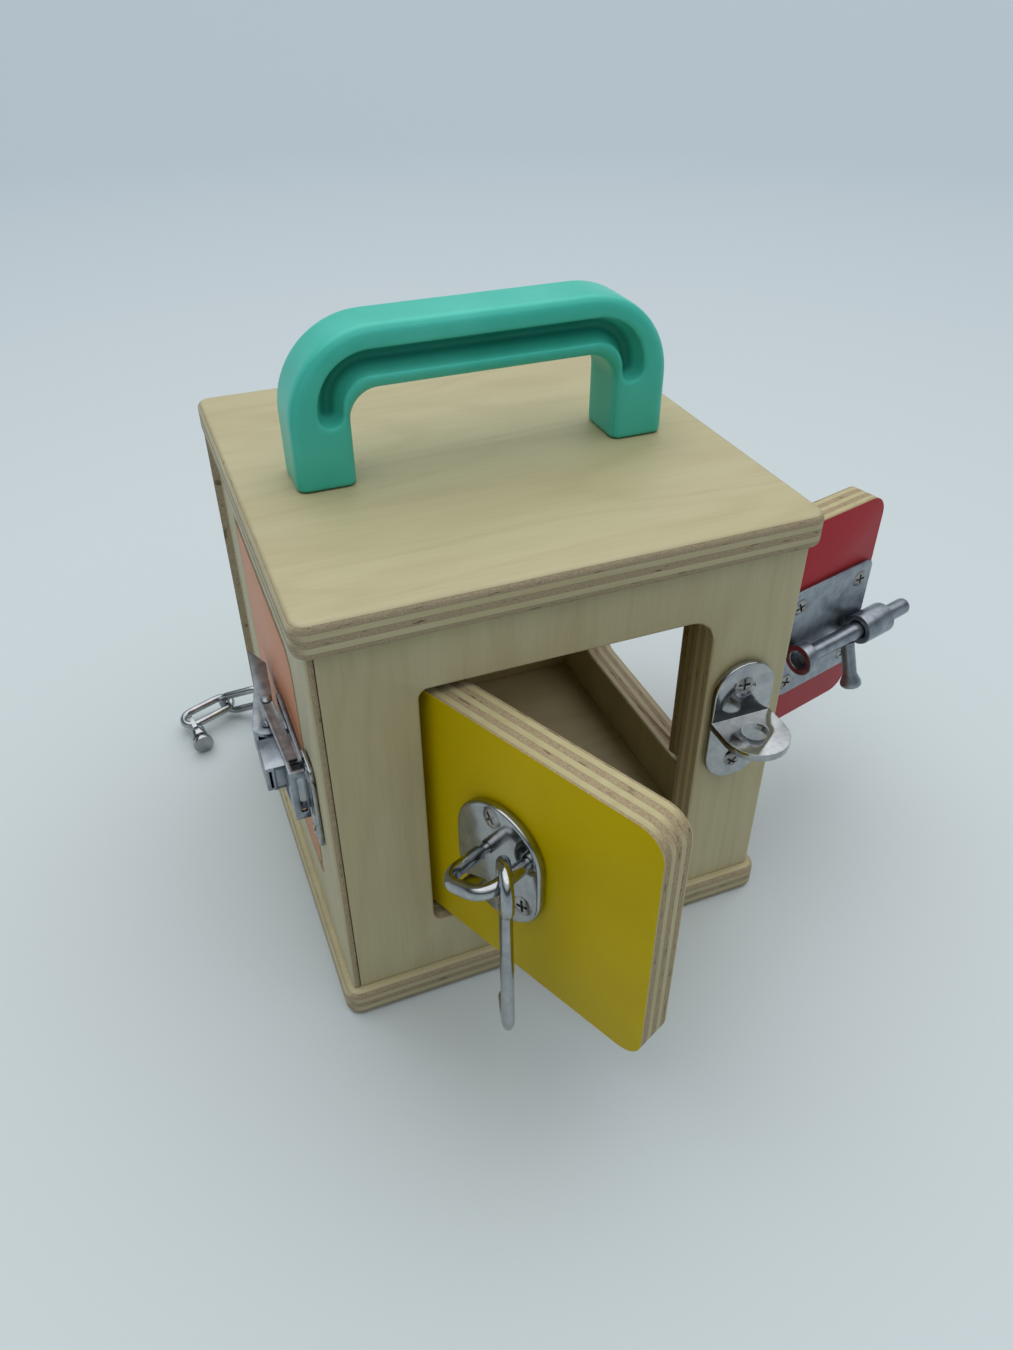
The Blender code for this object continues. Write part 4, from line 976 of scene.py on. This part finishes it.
def ownAxes(node):
    # centre and directions of a part's own shape: its middle width on X, thinnest on Y, longest on Z
    points = numpy.unique(numpy.round([v.co[:] for v in node.data.vertices], 6), axis=0)
    centre = points.mean(axis=0)
    axes = numpy.linalg.eigh(numpy.cov((points - centre).T))[1]
    middle, long = Vector(axes[:, 1]), Vector(axes[:, 2])
    place = Matrix((middle, long.cross(middle), long)).transposed().to_4x4()
    return Matrix.Translation(Vector(centre)) @ place


bend, straight = chainSet["bend"], chainSet["straight"]
for number in range(1, chainSet["links"] + 1):
    node = f"chain_link_{number}"
    link = Wire(f"chainLink{number}", chainSet["bar"], (-bend, 0, -straight / 2), (0, 0, 1))
    link.run(straight).bend(180, bend, (1, 0, 0), 20).run(straight).bend(180, bend, (-1, 0, 0), 20)
    ring = placed(link.close(joined=True), ownAxes(nodes[node]))
    settle(ring, chrome, "bright_plating", node, smooth=60)
for node, name, edge in (("chain_stud", "chainStud", chainSet["edge"]),
                         ("chain_plate", "chainPlate", chainSet["plateEdge"]),
                         ("chain_track", "chainTrack", chainSet["edge"])):
    settle(refine(node, name, edge), chrome, "bright_plating", node)
print("chain ready")


# studio
studio = {
    # the floor colour fades from the near value to the far value, a painted pool of light round the box
    "floor": rgb(198, 207, 210),
    "floorFar": rgb(174, 187, 196),
    "floorSize": 12.0,
    "floorFade": 1.6,
    "floorRough": 0.55,
    "floorGrain": 900.0,
    "floorRelief": 0.05 * mm,
    "sunPower": 1.35,
    "sunWide": 95.0,
    "sunTurn": (-14.0, 10.0, 0.0),
    # what lights the box, from the horizon up
    "sky": ((0.0, rgb(112, 113, 112)), (0.2, rgb(88, 90, 92)), (0.45, rgb(104, 107, 108)),
            (0.75, rgb(235, 240, 243))),
    # the pale room that the camera and the metal see
    "room": ((0.0, rgb(172, 185, 194)), (0.14, rgb(180, 192, 200)), (0.34, rgb(96, 101, 106)),
             (0.52, rgb(66, 70, 76)), (0.7, rgb(214, 220, 224)), (0.9, rgb(246, 248, 250))),
    "skyStrength": 1.04,
}

bpy.ops.object.select_all(action="DESELECT")
bpy.ops.mesh.primitive_grid_add(x_subdivisions=4, y_subdivisions=4, size=studio["floorSize"])
floor = bpy.context.object
floor.name = "floor"
look = Graph(bpy.data.materials.new("paleFloor"))
# painted pool of light: the floor is paler near the box and darker further out
reach = look.node("VectorMath", operation="LENGTH")
look.feed(look.coords["Object"], reach.inputs[0])
lightPoolFade = look.math("MULTIPLY", reach.outputs["Value"], 1 / studio["floorFade"], clamp=True)
paperWithLightPool = look.ramp(lightPoolFade, [(0.2, studio["floor"]), (0.9, studio["floorFar"])])
relief = look.bump(look.noise(look.coords["Object"], studio["floorGrain"]), studio["floorRelief"], 0.4)
dress(floor, look.finish(paperWithLightPool, studio["floorRough"], 0.0, relief))

lampData = bpy.data.lights.new("softLight", "SUN")
lampData.energy = studio["sunPower"]
lampData.angle = math.radians(studio["sunWide"])
lamp = bpy.data.objects.new("softLight", lampData)
bpy.context.scene.collection.objects.link(lamp)
lamp.rotation_euler = [math.radians(v) for v in studio["sunTurn"]]

world = bpy.data.worlds.new("room")
bpy.context.scene.world = world
air = Graph(world)
height = air.split(air.coords["Generated"])[2]
path = air.node("LightPath")
seen = air.math("MAXIMUM", path.outputs["Is Camera Ray"], path.outputs["Is Glossy Ray"])
backdrop = air.mix(seen, air.ramp(height, studio["sky"]), air.ramp(height, studio["room"]))
background = air.tree.nodes["Background"]
air.feed(backdrop, background.inputs["Color"])
background.inputs["Strength"].default_value = studio["skyStrength"]

cameraSet = {"place": (-0.10262, -0.28188, 0.29355), "turn": (52.8554, 0.2034, -21.7524), "lens": 26.9595,
             "sensor": 36.0, "clip": 0.01}
cameraData = bpy.data.cameras.new("camera")
cameraData.lens = cameraSet["lens"]
cameraData.sensor_width = cameraSet["sensor"]
cameraData.clip_start = cameraSet["clip"]
camera = bpy.data.objects.new("camera", cameraData)
bpy.context.scene.collection.objects.link(camera)
camera.location = cameraSet["place"]
camera.rotation_euler = [math.radians(v) for v in cameraSet["turn"]]
bpy.context.scene.camera = camera
bpy.context.scene.view_settings.view_transform = "Standard"
print("studio ready")
